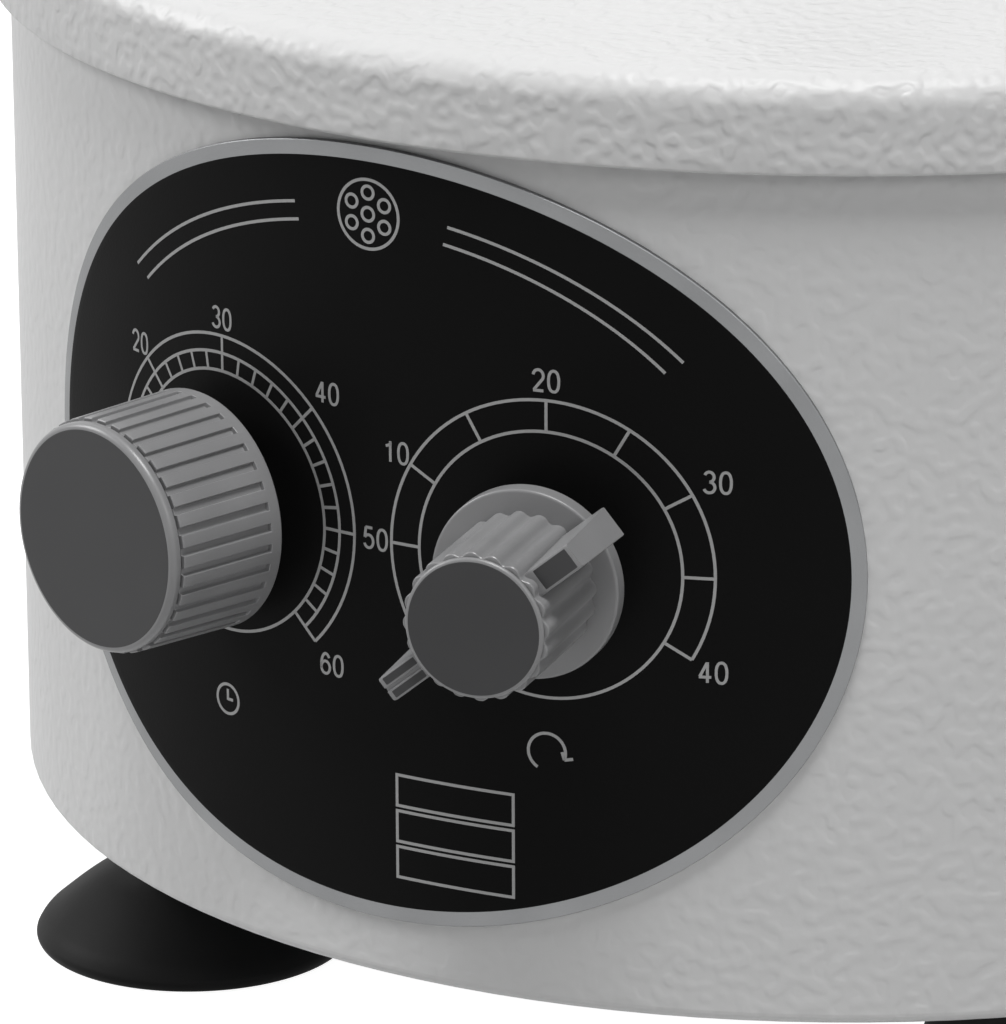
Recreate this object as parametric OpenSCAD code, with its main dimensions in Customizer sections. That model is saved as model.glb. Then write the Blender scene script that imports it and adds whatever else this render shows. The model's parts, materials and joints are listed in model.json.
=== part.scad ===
// Bench centrifuge: a round sheet-steel drum on four suction feet, with a rear-hinged lid,
// a six-place angle rotor on a resilient-mounted motor, a timer and a speed control.
// Millimetres, +Z up, the drum's axis is Z, the front is -Y and the bench is z = 0.

/* [Drum] */
// Outer diameter of the drum
body_d = 280; // [270:1:340]
// Height of the drum from its bottom edge to its top deck
drum_h = 146; // [140:1:176]
// Thickness of the drum, deck and lid sheet
sheet = 1.2; // [0.8:0.1:1.5]
// Gap between the bench and the drum's bottom edge
foot_h = 30; // [26:1:40]
// Radius of each suction foot's base
foot_r = 28; // [22:1:32]
// Distance of each foot's axis from the drum's axis
foot_ring_r = 113; // [105:1:116]

/* [Lid] */
// Height of the lid's skirt, from its lower edge to its flat rim
lid_skirt_h = 15.4; // [12:0.2:19]
// Running gap between the lid's skirt and the drum
lid_gap = 2.4; // [1.2:0.1:3]
// Rise of the lid's crown above its flat rim
lid_rise = 6; // [2:1:14]
// Radius of the lid's pressed shoulder
lid_corner_r = 5; // [3:0.5:6]
// Height of the rubber rim seal
gasket_h = 8.5; // [8:0.5:12]
// Diameter of the lid's knob
lid_knob_d = 38; // [30:1:48]
// Width of the hinge
hinge_w = 50; // [40:1:60]

/* [Chamber and rotor] */
// Inner diameter of the chamber
bowl_d = 216; // [214:1:220]
// Height of the chamber's floor above the bench
bowl_floor_z = 85; // [80:1:86]
// Radius at the bottom of a tube, measured from the rotor's axis
spin_r = 100; // [92:1:101]
// Inner diameter of a tube sleeve
sleeve_d = 17.6; // [14:0.2:18]
// Length of a sleeve from the middle of its round bottom to its mouth
sleeve_l = 78; // [70:1:82]
// Wall of a sleeve
sleeve_wall = 1.2; // [0.8:0.1:1.4]
// Number of tubes
places = 6; // [4:2:6]

/* [Motor] */
// Outer diameter of the motor's can
can_d = 76; // [66:1:78]
// Diameter of the spindle
spindle_d = 8; // [6:0.5:10]

/* [Front panel] */
// Full width of the oval panel, measured round the drum
panel_w = 164; // [150:1:170]
// Full height of the oval panel
panel_h = 128.4; // [120:0.1:129]
// Thickness of the panel
panel_t = 1; // [0.6:0.1:1.5]
// Height of the dials' centres above the drum's bottom edge
dial_h = 74.7; // [72:0.1:78]
// Distance of each dial's centre from the panel's middle line
dial_s = 30.8; // [29:0.2:36]

/* [Knobs] */
// Diameter of the timer's knob at its back band
timer_knob_d = 39.4; // [34:0.2:44]
// Distance of the timer knob's front from the drum
timer_knob_h = 29; // [24:0.5:32]
// Number of grooves on the timer's knob
timer_grooves = 36; // [24:1:40]
// Diameter of the speed knob's skirt
speed_skirt_d = 31; // [28:0.5:36]
// Diameter of the speed knob's barrel
speed_barrel_d = 24; // [20:0.5:26]
// Distance of the speed knob's front from the drum
speed_knob_h = 33.4; // [28:0.2:36]
// Reach of the speed knob's bar to each side of its axis
bar_reach = 20; // [16:0.5:22]
// Number of flutes on the speed knob
speed_flutes = 20; // [14:1:24]

/* [Hidden] */
$fn = 96;

// Clearances: between pieces that only lie near each other, of a turning fit, and of a loose hole
air = 0.3;
fit = 0.05;
loose = 0.2;

// Levels
body_r = body_d / 2;
base_z = foot_h;
deck_z = base_z + drum_h;
plate_z = base_z + sheet;
plate_t = 2;
plate_top = plate_z + plate_t;
lid_in_z = deck_z + gasket_h + air;
lid_z = lid_in_z + sheet;
lid_edge_z = lid_z - lid_skirt_h;
lid_r = body_r + lid_gap + sheet;
body_corner_r = 2;
lip_w = 14;
plate_r = body_r - sheet - 1;
base_screw_ring = body_r - sheet - 7.5;
base_screw_r = 2;

// Chamber
bowl_r = bowl_d / 2;
bowl_or = bowl_r + sheet;
flange_r = bowl_or + 11;
flange_z = deck_z + sheet;
bowl_screw_ring = bowl_or + 6;
bowl_screw_r = 1.5;
well_r = can_d / 2 + 9.2;
well_z = bowl_floor_z + 37.2;
well_hole_r = 16;
gasket_w = 7;
gasket_r = flange_r + 7.5;

// Angle rotor: each sleeve's axis runs at 45 degrees from the middle of its round bottom
sleeve_r = sleeve_d / 2;
sleeve_or = sleeve_r + sleeve_wall;
tube_r = spin_r - sleeve_r;
tube_z = bowl_floor_z + 7 + sleeve_or;
tube_tilt = 45;
collar_t = 2;
collar_r = sleeve_or + 2.5;
boss_r = sleeve_or + 3;
seat_l = sleeve_l - collar_t;
boss_l = 26;
dish_t = 4;
dish_l = seat_l - 14;
hub_z = well_z + 4.8;
hub_top = hub_z + 19;
hub_r = 11;
spindle_r = spindle_d / 2;
boot_t = 2;
shaft_top = hub_top + 6.5;

// Motor, from its bracket upward
shock_h = 16;
shock_r = 11;
shock_ring = 60;
bracket_z = plate_top + shock_h;
bracket_t = 2.5;
bracket_r = 72;
bell_z = bracket_z + bracket_t;
bell_t = 4;
can_r = can_d / 2;
can_wall = 1.6;
can_z = bell_z + bell_t;
can_top = well_z - sheet - 15;
bearing_r = 11;
bearing_h = 7;
bell_boss_r = 14.5;
bell_boss_h = 5.4;
armature_r = can_r - 10.7;
stack_z = can_z + 24.5;
stack_top = can_top - 10;
commutator_r = 12.5;
commutator_z = can_z + bell_boss_h + 1;
commutator_h = 12;
tie_ring = can_r - 4.5;
tie_r = 2;
fan_z = plate_top + 3.5;
fan_h = 9;
fan_r = 26;

// Front panel and what is fixed through it
dial_z = base_z + dial_h;
shaft_r = 3;
bush_r = 4.7;
bush_hole_r = bush_r + 0.3;
nut_af = 14;
nut_t = 2.5;
washer_t = 0.8;
timer_w = 42;
timer_h = 46;
timer_d = 24;
timer_front = -sheet - 1.8;
pot_r = 12;
pot_d = 14;
pot_front = -sheet - 0.8;
bush_front = panel_t + washer_t + nut_t + 0.5;
speed_off_a = -129.5;
knob_gap = panel_t + 4.5;

// Rear fittings, as angles round the drum from the rear and heights above its bottom edge
gland_z = base_z + 32;
gland_bore_r = 3.7;
gland_body_r = 8;
rocker_a = 22;
rocker_z = base_z + 34;
rocker_w = 15;
rocker_h = 21;
fuse_a = -20;
fuse_z = base_z + 32;
fuse_body_r = 6;

// Hinge
leaf_t = 2;
knuckle_r = 3.5;
pin_r = 1.7;
hinge_y = lid_r + knuckle_r + 2.4;
hinge_z = lid_edge_z;
lid_leaf_h = 11;
body_leaf_h = 32;
body_leaf_top = lid_edge_z - 8;
hinge_screw_x = hinge_w / 2 - 8;
hinge_screw_r = 1.5;

// Board
board_z = plate_top + 11.8;
board_t = 1.6;
board_w = 76;
board_d = 40;
board_y = body_r - 45;

// Points along an arc
function arc(cx, cy, r, a0, a1, n = 6) =
  [for (i = [0:n]) let (a = a0 + (a1 - a0) * i / n) [cx + r * cos(a), cy + r * sin(a)]];

// Points of the lid's crown from its flat rim to its centre, raised smoothly
function crown(r0, r1, z, rise, n = 10) =
  [for (i = [0:n]) let (t = i / n) [r0 + (r1 - r0) * t, z + rise * (1 - cos(180 * t)) / 2]];

// Places children on the drum's front or rear: X round the drum, Y up, Z outward from its skin
module on_drum(angle, z) {
  rotate([0, 0, angle]) translate([0, -body_r, z]) rotate([90, 0, 0]) children();
}

module at_dial(side) {
  on_drum(side * dial_s / body_r * 180 / PI, dial_z) children();
}

// A screw with a pan head, its seat at z = 0, its head above and its shank below
module pan_screw(r, length, head_h = 2.2) {
  cylinder(h = head_h, r = 1.9 * r);
  translate([0, 0, -length]) cylinder(h = length + 0.01, r = r);
}

// Sleeve places round the rotor, Z along the tube's axis towards its mouth
module at_place(i) {
  rotate([0, 0, 360 / places * i]) translate([tube_r, 0, tube_z]) rotate([0, -tube_tilt, 0]) children();
}

module at_feet() {
  for (a = [45:90:315]) rotate([0, 0, a]) translate([foot_ring_r, 0, 0]) children();
}

module at_ring(count, r, start = 0) {
  for (i = [0:count - 1]) rotate([0, 0, start + 360 / count * i]) translate([r, 0, 0]) children();
}

module body_shell() {
  outer = body_corner_r;
  inner = body_corner_r - sheet;
  c = body_r - outer;
  color("white") difference() {
    rotate_extrude($fn = 180) polygon(concat(
      [[body_r - lip_w, base_z]], arc(c, base_z + outer, outer, -90, 0),
      arc(c, deck_z - outer, outer, 0, 90), [[bowl_or + 0.8, deck_z], [bowl_or + 0.8, deck_z - sheet]],
      arc(c, deck_z - outer, inner, 90, 0), arc(c, base_z + outer, inner, 0, -90),
      [[body_r - lip_w, plate_z]]));
    for (side = [-1, 1]) at_dial(side) translate([0, 0, -8]) cylinder(h = 12, r = bush_hole_r);
    at_ring(6, base_screw_ring, 15) translate([0, 0, base_z - 1]) cylinder(h = 4, r = base_screw_r + loose);
    at_ring(6, bowl_screw_ring, 30) translate([0, 0, deck_z - 4]) cylinder(h = 8, r = bowl_screw_r + loose);
    on_drum(180, gland_z) translate([0, 0, -8]) cylinder(h = 12, r = gland_body_r + loose);
    on_drum(180 + rocker_a, rocker_z) cube([rocker_w - 3, rocker_h - 3, 16], center = true);
    on_drum(180 + fuse_a, fuse_z) translate([0, 0, -8]) cylinder(h = 12, r = fuse_body_r + loose);
    hinge_screw_places() translate([0, 0, -4]) cylinder(h = 8, r = hinge_screw_r + loose);
  }
}

// Flat steel floor with a ring of cooling slots under the fan
module base_plate() {
  color("gainsboro") difference() {
    translate([0, 0, plate_z]) cylinder(h = plate_t, r = plate_r, $fn = 180);
    at_ring(12, 31) translate([0, 0, plate_z]) cube([24, 4, 8], center = true);
    at_feet() translate([0, 0, plate_z - 1]) cylinder(h = 4, r = 3 + loose);
    at_ring(6, base_screw_ring, 15) translate([0, 0, plate_z - 1]) cylinder(h = 4, r = base_screw_r + loose);
    at_ring(3, shock_ring, 30) translate([0, 0, plate_z - 1]) cylinder(h = 4, r = 2.5 + loose);
  }
}

module base_screws() {
  color("silver") at_ring(6, base_screw_ring, 15)
    translate([0, 0, base_z]) rotate([180, 0, 0]) pan_screw(base_screw_r, sheet + plate_t + 3);
}

// Rubber suction foot: flared cup, neck, and a bore for its bolt
module suction_feet() {
  r = foot_r;
  color([0.12, 0.12, 0.12]) at_feet() difference() {
    rotate_extrude() polygon(concat(
      [[0, 4], [r - 14, 3.4], [r - 6, 0]], arc(r - 1.6, 1.6, 1.6, -90, 30),
      [[r - 2.8, 5.5], [r - 8.2, 10], [r - 13.6, 13.8], [r - 16, 16.2], [r - 17, 19],
       [r - 17, plate_z], [0, plate_z]]));
    translate([0, 0, plate_z - 16]) cylinder(h = 17, r = 3 + fit);
  }
}

module foot_bolts() {
  color("silver") at_feet() translate([0, 0, plate_top]) {
    cylinder(h = 4, r = 5.8, $fn = 6);
    translate([0, 0, -plate_t - 14]) cylinder(h = plate_t + 14.01, r = 3);
  }
}

// Pressed chamber: flange on the deck, straight wall, floor, and a well over the motor
module bowl() {
  fr = 8;
  wr = 6;
  tr = 4;
  z0 = bowl_floor_z;
  color("silver") difference() {
    rotate_extrude($fn = 180) polygon(concat(
      [[flange_r, flange_z], [bowl_r, flange_z]], arc(bowl_r - fr, z0 + fr, fr, 0, -90),
      arc(well_r + sheet + wr, z0 + wr, wr, -90, -180), arc(well_r + sheet - tr, well_z - tr, tr, 0, 90),
      [[well_hole_r, well_z], [well_hole_r, well_z - sheet]],
      arc(well_r + sheet - tr, well_z - tr, tr - sheet, 90, 0),
      arc(well_r + sheet + wr, z0 + wr, wr + sheet, -180, -90),
      arc(bowl_r - fr, z0 + fr, fr + sheet, -90, 0), [[bowl_or, deck_z], [flange_r, deck_z]]));
    at_ring(6, bowl_screw_ring, 30) translate([0, 0, deck_z - 1]) cylinder(h = 4, r = bowl_screw_r + loose);
  }
}

module bowl_screws() {
  color("silver") at_ring(6, bowl_screw_ring, 30)
    translate([0, 0, flange_z]) pan_screw(bowl_screw_r, 6, 1.8);
}

// Rim seal with a rounded top that the lid closes on
module rim_gasket() {
  w = gasket_w;
  color([0.15, 0.15, 0.15]) rotate_extrude($fn = 180) polygon(concat(
    [[gasket_r - w / 2, deck_z], [gasket_r + w / 2, deck_z]],
    arc(gasket_r, deck_z + gasket_h - w / 2, w / 2, 0, 180, 10)));
}

// Rubber seal in the well's hole, clear of the spindle
module shaft_boot() {
  color([0.15, 0.15, 0.15]) rotate_extrude() polygon([
    [spindle_r + 3, well_z - sheet - 4], [well_hole_r - air, well_z - sheet - 4],
    [well_hole_r - air, well_z], [well_hole_r + 6, well_z], [well_hole_r + 6, well_z + boot_t],
    [spindle_r + 3, well_z + boot_t]]);
}

module motor_can() {
  color("dimgray") translate([0, 0, can_z]) difference() {
    cylinder(h = can_top - can_z, r = can_r);
    translate([0, 0, -1]) cylinder(h = can_top - can_z + 2, r = can_r - can_wall);
  }
}

// End bell: plate, boss and bearing pocket, drawn with its plate on z = 0 and its boss above
module end_bell(pocket_z) {
  difference() {
    union() {
      cylinder(h = bell_t, r = can_r + 1);
      cylinder(h = bell_t + bell_boss_h, r = bell_boss_r);
    }
    translate([0, 0, pocket_z]) cylinder(h = 20, r = bearing_r + fit);
    translate([0, 0, -1]) cylinder(h = 20, r = spindle_r + 2);
    for (a = [90, 270]) rotate([0, 0, a]) translate([tie_ring, 0, -1]) cylinder(h = 8, r = tie_r + loose);
  }
}

module motor_lower_bell() {
  color("lightgray") translate([0, 0, bell_z]) end_bell(bell_t + bell_boss_h - bearing_h);
}

module motor_upper_bell() {
  color("lightgray") translate([0, 0, can_top]) end_bell(bell_t + bell_boss_h - bearing_h);
}

module motor_bearings() {
  color("silver") for (z = [bell_z, can_top])
    translate([0, 0, z + bell_t + bell_boss_h - bearing_h]) difference() {
      cylinder(h = bearing_h, r = bearing_r);
      translate([0, 0, -1]) cylinder(h = bearing_h + 2, r = spindle_r + fit);
    }
}

// Two arc magnets that line the can
module field_magnets() {
  color([0.25, 0.25, 0.25]) translate([0, 0, stack_z - 2]) difference() {
    cylinder(h = stack_top - stack_z + 4, r = can_r - can_wall - fit);
    translate([0, 0, -1]) cylinder(h = 80, r = armature_r + 0.7);
    translate([-20, -50, -1]) cube([40, 100, 80]);
  }
}

// Two holders with their carbons, on the lower bell
module brush_gear() {
  depth = 12;
  width = 9;
  brush_h = 5;
  low = commutator_z + 3.5;
  for (a = [0, 180]) rotate([0, 0, a]) {
    color("peru") difference() {
      translate([commutator_r + 3, -width / 2, can_z]) cube([depth, width, low + brush_h + 2 - can_z]);
      translate([commutator_r, -2.5 - fit, low - fit]) cube([depth, 5 + 2 * fit, brush_h + 2 * fit]);
    }
    color([0.2, 0.2, 0.2]) translate([commutator_r + air, -2.5, low]) cube([depth - 2, 5, brush_h]);
  }
}

// Two through bolts from under the bracket to above the upper bell
module motor_bolts() {
  top = can_top + bell_t;
  color("silver") for (a = [90, 270]) rotate([0, 0, a]) translate([tie_ring, 0, 0]) {
    translate([0, 0, bracket_z - 3]) cylinder(h = top + 4 - bracket_z + 3, r = tie_r);
    translate([0, 0, bracket_z - 3]) cylinder(h = 3, r = 3.5, $fn = 6);
    translate([0, 0, top]) cylinder(h = 3, r = 3.5, $fn = 6);
  }
}

module motor_bracket() {
  color("gainsboro") translate([0, 0, bracket_z]) difference() {
    cylinder(h = bracket_t, r = bracket_r);
    translate([0, 0, -1]) cylinder(h = 5, r = 24);
    for (a = [90, 270]) rotate([0, 0, a]) translate([tie_ring, 0, -1]) cylinder(h = 5, r = tie_r + loose);
    at_ring(3, shock_ring, 30) translate([0, 0, -1]) cylinder(h = 5, r = 2.5 + loose);
  }
}

module shock_mounts() {
  color([0.12, 0.12, 0.12]) at_ring(3, shock_ring, 30) translate([0, 0, plate_top]) rotate_extrude()
    polygon([[2.5 + loose, 0], [shock_r, 0], [shock_r, 3], [shock_r - 2, shock_h / 2],
             [shock_r, shock_h - 3], [shock_r, shock_h], [2.5 + loose, shock_h]]);
}

module bracket_bolts() {
  color("silver") at_ring(3, shock_ring, 30) {
    translate([0, 0, plate_z - 4]) cylinder(h = bell_z + 3.5 - plate_z + 4, r = 2.5);
    translate([0, 0, bell_z]) cylinder(h = 3.5, r = 4.6, $fn = 6);
    translate([0, 0, plate_z - 4]) cylinder(h = 4, r = 4.6, $fn = 6);
  }
}

module hinge_screw_places() {
  for (side = [-1, 1])
    on_drum(180 + side * hinge_screw_x / body_r * 180 / PI, body_leaf_top - body_leaf_h / 2 - 5) children();
}

module hinge_rivet_places() {
  for (side = [-1, 1])
    rotate([0, 0, 180 + side * hinge_screw_x / lid_r * 180 / PI])
      translate([0, -lid_r, lid_z - lid_corner_r - lid_leaf_h / 2 + 1]) rotate([90, 0, 0]) children();
}

// Fixed leaf: curved plate on the drum with two arms that carry the outer knuckles
module hinge_body_leaf() {
  arm_w = hinge_w / 2 - 12.3;
  color("silver") difference() {
    union() {
      intersection() {
        cylinder(h = body_leaf_top, r = body_r + leaf_t, $fn = 180);
        translate([-hinge_w / 2, 0, body_leaf_top - body_leaf_h]) cube([hinge_w, body_r * 2, body_leaf_h]);
      }
      for (x = [-hinge_w / 2, 12.3]) {
        translate([x, 0, 0]) rotate([90, 0, 90]) linear_extrude(arm_w) polygon([
          [body_r - 4, body_leaf_top - 14], [body_r + leaf_t, body_leaf_top - 14],
          [hinge_y + knuckle_r, hinge_z - 2], [hinge_y + knuckle_r, hinge_z],
          [hinge_y - knuckle_r, hinge_z], [hinge_y - knuckle_r, body_leaf_top],
          [body_r - 4, body_leaf_top]]);
        translate([x, hinge_y, hinge_z]) rotate([0, 90, 0]) cylinder(h = arm_w, r = knuckle_r);
      }
    }
    cylinder(h = deck_z + 10, r = body_r + fit, $fn = 180);
    translate([-hinge_w, hinge_y, hinge_z]) rotate([0, 90, 0]) cylinder(h = 2 * hinge_w, r = pin_r + fit);
    hinge_screw_places() translate([0, 0, -2]) cylinder(h = 8, r = hinge_screw_r + loose);
  }
}

module hinge_pin() {
  color("silver") translate([-hinge_w / 2 - 1.5, hinge_y, hinge_z]) rotate([0, 90, 0]) {
    cylinder(h = hinge_w + 3, r = pin_r);
    cylinder(h = 1.3, r = pin_r + 1);
    translate([0, 0, hinge_w + 1.7]) cylinder(h = 1.3, r = pin_r + 1);
  }
}

module hinge_screws() {
  color("silver") hinge_screw_places()
    translate([0, 0, leaf_t]) pan_screw(hinge_screw_r, leaf_t + sheet + 3, 1.8);
}

// Moving leaf: curved plate on the lid's skirt with the middle knuckle
module hinge_lid_leaf() {
  top = lid_z - lid_corner_r + 1;
  color("silver") difference() {
    union() {
      intersection() {
        cylinder(h = top, r = lid_r + leaf_t, $fn = 180);
        translate([-hinge_w / 2, 0, top - lid_leaf_h]) cube([hinge_w, 2 * body_r, lid_leaf_h]);
      }
      translate([-12, 0, 0]) rotate([90, 0, 90]) linear_extrude(24) polygon([
        [lid_r - 2, top - 3], [lid_r + leaf_t, top - 3], [hinge_y + knuckle_r, hinge_z],
        [hinge_y - knuckle_r, hinge_z], [hinge_y - knuckle_r, hinge_z + 2.6], [lid_r - 2, hinge_z + 2.6]]);
      translate([-12, hinge_y, hinge_z]) rotate([0, 90, 0]) cylinder(h = 24, r = knuckle_r);
    }
    cylinder(h = lid_z, r = lid_r + fit, $fn = 180);
    translate([-hinge_w, hinge_y, hinge_z]) rotate([0, 90, 0]) cylinder(h = 2 * hinge_w, r = pin_r + 0.08);
    hinge_rivet_places() translate([0, 0, -2]) cylinder(h = 8, r = hinge_screw_r + loose);
  }
}

module hinge_rivets() {
  color("silver") hinge_rivet_places() {
    translate([0, 0, leaf_t]) cylinder(h = 1.4, r = 2.8);
    translate([0, 0, -sheet - 0.1]) cylinder(h = sheet + leaf_t + 0.2, r = hinge_screw_r);
    translate([0, 0, -sheet - 0.6]) cylinder(h = 0.55, r = 2.2);
  }
}

// Oval panel wrapped on the drum: its outline is an ellipse on the unrolled skin
module front_panel() {
  color([0.08, 0.08, 0.08]) difference() {
    intersection() {
      difference() {
        translate([0, 0, base_z]) cylinder(h = drum_h, r = body_r + panel_t, $fn = 180);
        cylinder(h = deck_z + 5, r = body_r + fit / 2, $fn = 180);
      }
      translate([0, 0, dial_z]) rotate([90, 0, 0]) linear_extrude(body_r + 10) polygon([
        for (i = [0:119]) let (t = 3 * i)
          [body_r * sin(panel_w / 2 * cos(t) / body_r * 180 / PI), panel_h / 2 * sin(t)]]);
    }
    for (side = [-1, 1]) at_dial(side) translate([0, 0, -2]) cylinder(h = 6, r = bush_hole_r);
  }
}

// Clockwork timer: case with two terminals, threaded bush and a bore for its spindle
module timer_case() {
  color("lightgray") at_dial(-1) difference() {
    union() {
      translate([-timer_w / 2, -timer_h / 2, timer_front - timer_d]) cube([timer_w, timer_h, timer_d]);
      translate([0, 0, timer_front - 1]) cylinder(h = bush_front - timer_front + 1, r = bush_r);
      for (x = [-12, 12]) translate([x - 3, -timer_h / 2 - 8, timer_front - 14]) cube([6, 9, 0.8]);
    }
    translate([0, 0, timer_front - 15]) cylinder(h = 40, r = shaft_r + fit);
  }
}

module timer_shaft() {
  color("silver") at_dial(-1)
    translate([0, 0, timer_front - 14]) cylinder(h = 14 - timer_front + timer_knob_h - 8, r = shaft_r);
}

// Slightly tapered barrel with grooves that run out at its front, and a socket for the cap
module timer_knob() {
  r = timer_knob_d / 2;
  back = knob_gap + 1;
  taper = 0.5;
  front = timer_knob_h - 2.15;
  lean = atan(taper / (front - back));
  color([0.35, 0.35, 0.35]) at_dial(-1) difference() {
    rotate_extrude() polygon([[0, back], [r - 0.2, back], [r, back + 0.2], [r - taper, front], [0, front]]);
    for (i = [0:timer_grooves - 1]) rotate([0, 0, 360 / timer_grooves * (i + 0.5)])
      translate([r - 0.7, -0.65, back + 2.2]) rotate([0, -lean, 0]) cube([3, 1.3, 2 * timer_knob_h]);
    translate([0, 0, front - 2.4]) cylinder(h = 5, r = r - 3);
    translate([0, 0, back - 1]) cylinder(h = 8, r = r - 2.8);
    translate([0, 0, back - 1]) cylinder(h = 40, r = shaft_r + fit / 2);
  }
}

// Knob cap: a plug, a narrow neck that shows as a dark line, and a disc with a soft edge
module knob_cap(plug_r, neck_r, disc_r, neck, disc, soft) {
  rotate_extrude() polygon(concat(
    [[0, -2.4], [plug_r - fit, -2.4], [plug_r - fit, 0], [neck_r, 0], [neck_r, neck], [disc_r, neck]],
    arc(disc_r - soft, neck + disc - soft, soft, 0, 90), [[0, neck + disc]]));
}

module timer_knob_cap() {
  r = timer_knob_d / 2;
  color([0.3, 0.3, 0.3]) at_dial(-1) translate([0, 0, timer_knob_h - 2.15])
    knob_cap(r - 3, r - 1.8, r - 0.95, 0.35, 1.8, 1.1);
}

module potentiometer() {
  color("lightgray") at_dial(1) difference() {
    union() {
      translate([0, 0, pot_front - pot_d]) cylinder(h = pot_d, r = pot_r);
      translate([0, 0, pot_front - 1]) cylinder(h = bush_front - pot_front + 1, r = bush_r);
      for (x = [-5, 0, 5]) translate([x - 1, -pot_r - 7, pot_front - 5]) cube([2, 9, 0.8]);
    }
    translate([0, 0, pot_front - 11]) cylinder(h = 40, r = shaft_r + fit);
  }
}

module pot_shaft() {
  color("silver") at_dial(1)
    translate([0, 0, pot_front - 10]) cylinder(h = 10 - pot_front + speed_knob_h - 8, r = shaft_r);
}

// Hexagon nut on a washer for each of the two bushes
module panel_nuts() {
  color("silver") for (side = [-1, 1]) at_dial(side) difference() {
    union() {
      translate([0, 0, panel_t]) cylinder(h = washer_t, r = 8);
      translate([0, 0, panel_t + washer_t]) cylinder(h = nut_t, r = nut_af / sqrt(3), $fn = 6);
    }
    translate([0, 0, -1]) cylinder(h = 10, r = bush_r + fit);
  }
}

// Skirted, fluted barrel with a bar through it; the bar's grooved end is the pointer
module speed_knob() {
  r = speed_barrel_d / 2;
  skirt_front = knob_gap + 5.6;
  skirt_back = skirt_front - 3;
  front = speed_knob_h - 1;
  bar_back = skirt_front + 1.6;
  bar_front = front - 1.7;
  color([0.35, 0.35, 0.35]) at_dial(1) rotate([0, 0, -speed_off_a]) difference() {
    union() {
      rotate_extrude() polygon([[0, skirt_back], [speed_skirt_d / 2 - 0.2, skirt_back],
        [speed_skirt_d / 2, skirt_back + 0.2], [speed_skirt_d / 2, skirt_front - 0.5],
        [speed_skirt_d / 2 - 0.5, skirt_front], [0, skirt_front]]);
      translate([0, 0, skirt_front - 0.01]) linear_extrude(front - skirt_front + 0.01) difference() {
        circle(r = r);
        for (i = [0:speed_flutes - 1]) rotate([0, 0, 360 / speed_flutes * (i + 0.5)])
          translate([r + 0.5, 0]) circle(r = 1.2, $fn = 24);
      }
      translate([0, bar_reach, bar_back]) rotate([90, 0, 0]) linear_extrude(2 * bar_reach)
        polygon([[-2.7, 0], [2.7, 0], [2.15, bar_front - bar_back], [-2.15, bar_front - bar_back]]);
    }
    translate([-0.35, r - 0.4, bar_front - 0.35]) cube([0.7, 20, 2]);
    translate([0, 0, front - 2.4]) cylinder(h = 5, r = r - 3);
    translate([0, 0, skirt_back - 1]) cylinder(h = 2.6, r = r - 2);
    translate([0, 0, skirt_back - 1]) cylinder(h = 60, r = shaft_r + fit / 2);
  }
}

module speed_knob_cap() {
  r = speed_barrel_d / 2;
  color([0.3, 0.3, 0.3]) at_dial(1) translate([0, 0, speed_knob_h - 1])
    knob_cap(r - 3, r - 1.4, r - 0.7, 0.15, 0.85, 0.6);
}

module control_board() {
  color("green") difference() {
    translate([-board_w / 2, board_y - board_d / 2, board_z]) cube([board_w, board_d, board_t]);
    board_corners() translate([0, 0, board_z - 1]) cylinder(h = 4, r = 1.6);
  }
}

module board_corners() {
  for (x = [-1, 1], y = [-1, 1])
    translate([x * (board_w / 2 - 5), board_y + y * (board_d / 2 - 5), 0]) children();
}

module board_standoffs() {
  color("ivory") board_corners() {
    translate([0, 0, plate_top]) cylinder(h = board_z - plate_top, r = 3);
    translate([0, 0, board_z - 0.01]) cylinder(h = board_t + 1.8, r = 1.5);
  }
}

// Finned block of the power stage
module heatsink() {
  w = 30;
  h = 22;
  color("lightgray") translate([-26, board_y - 7, board_z + board_t]) union() {
    cube([w, 3, h]);
    for (i = [0:5]) translate([i * (w - 2) / 5, 2.9, 0]) cube([2, 10, h]);
  }
}

module capacitor() {
  color("steelblue") translate([20, board_y, board_z + board_t]) cylinder(h = 26, r = 9);
}

// Cord entry with its inside nut; its bore is bare
module cord_gland() {
  color([0.12, 0.12, 0.12]) on_drum(180, gland_z) {
    difference() {
      union() {
        translate([0, 0, -14]) cylinder(h = 14.5, r = gland_body_r);
        cylinder(h = 5, r = 11.5, $fn = 6);
        translate([0, 0, 5]) rotate_extrude()
          polygon([[0, 0], [9.5, 0], [9.5, 3], [6.5, 9], [0, 9]]);
      }
      translate([0, 0, -20]) cylinder(h = 40, r = gland_bore_r);
    }
    translate([0, 0, -7]) difference() {
      cylinder(h = 5, r = 12, $fn = 6);
      translate([0, 0, -1]) cylinder(h = 7, r = gland_body_r + fit);
    }
  }
}

module rocker_housing() {
  color([0.1, 0.1, 0.1]) on_drum(180 + rocker_a, rocker_z) difference() {
    union() {
      translate([-rocker_w / 2, -rocker_h / 2, 0]) cube([rocker_w, rocker_h, 2]);
      translate([-rocker_w / 2 + 1.7, -rocker_h / 2 + 1.7, -14])
        cube([rocker_w - 3.4, rocker_h - 3.4, 14.5]);
    }
    translate([-rocker_w / 2 + 3, -rocker_h / 2 + 2.4, -5]) cube([rocker_w - 6, rocker_h - 4.8, 8]);
  }
}

// Tilted key of the rocker switch, drawn in its off position
module rocker_button() {
  half = rocker_h / 2 - 3.4;
  width = rocker_w - 6.6;
  color([0.1, 0.1, 0.1]) on_drum(180 + rocker_a, rocker_z) rotate([9, 0, 0]) rotate([90, 0, 90])
    translate([0, 0, -width / 2]) linear_extrude(width) polygon([
      [-half, -3.2], [half, -3.2], [half, 2.6], [half - 0.6, 3], [0, 1.8], [-half + 0.6, 3],
      [-half, 2.6]]);
}

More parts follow.
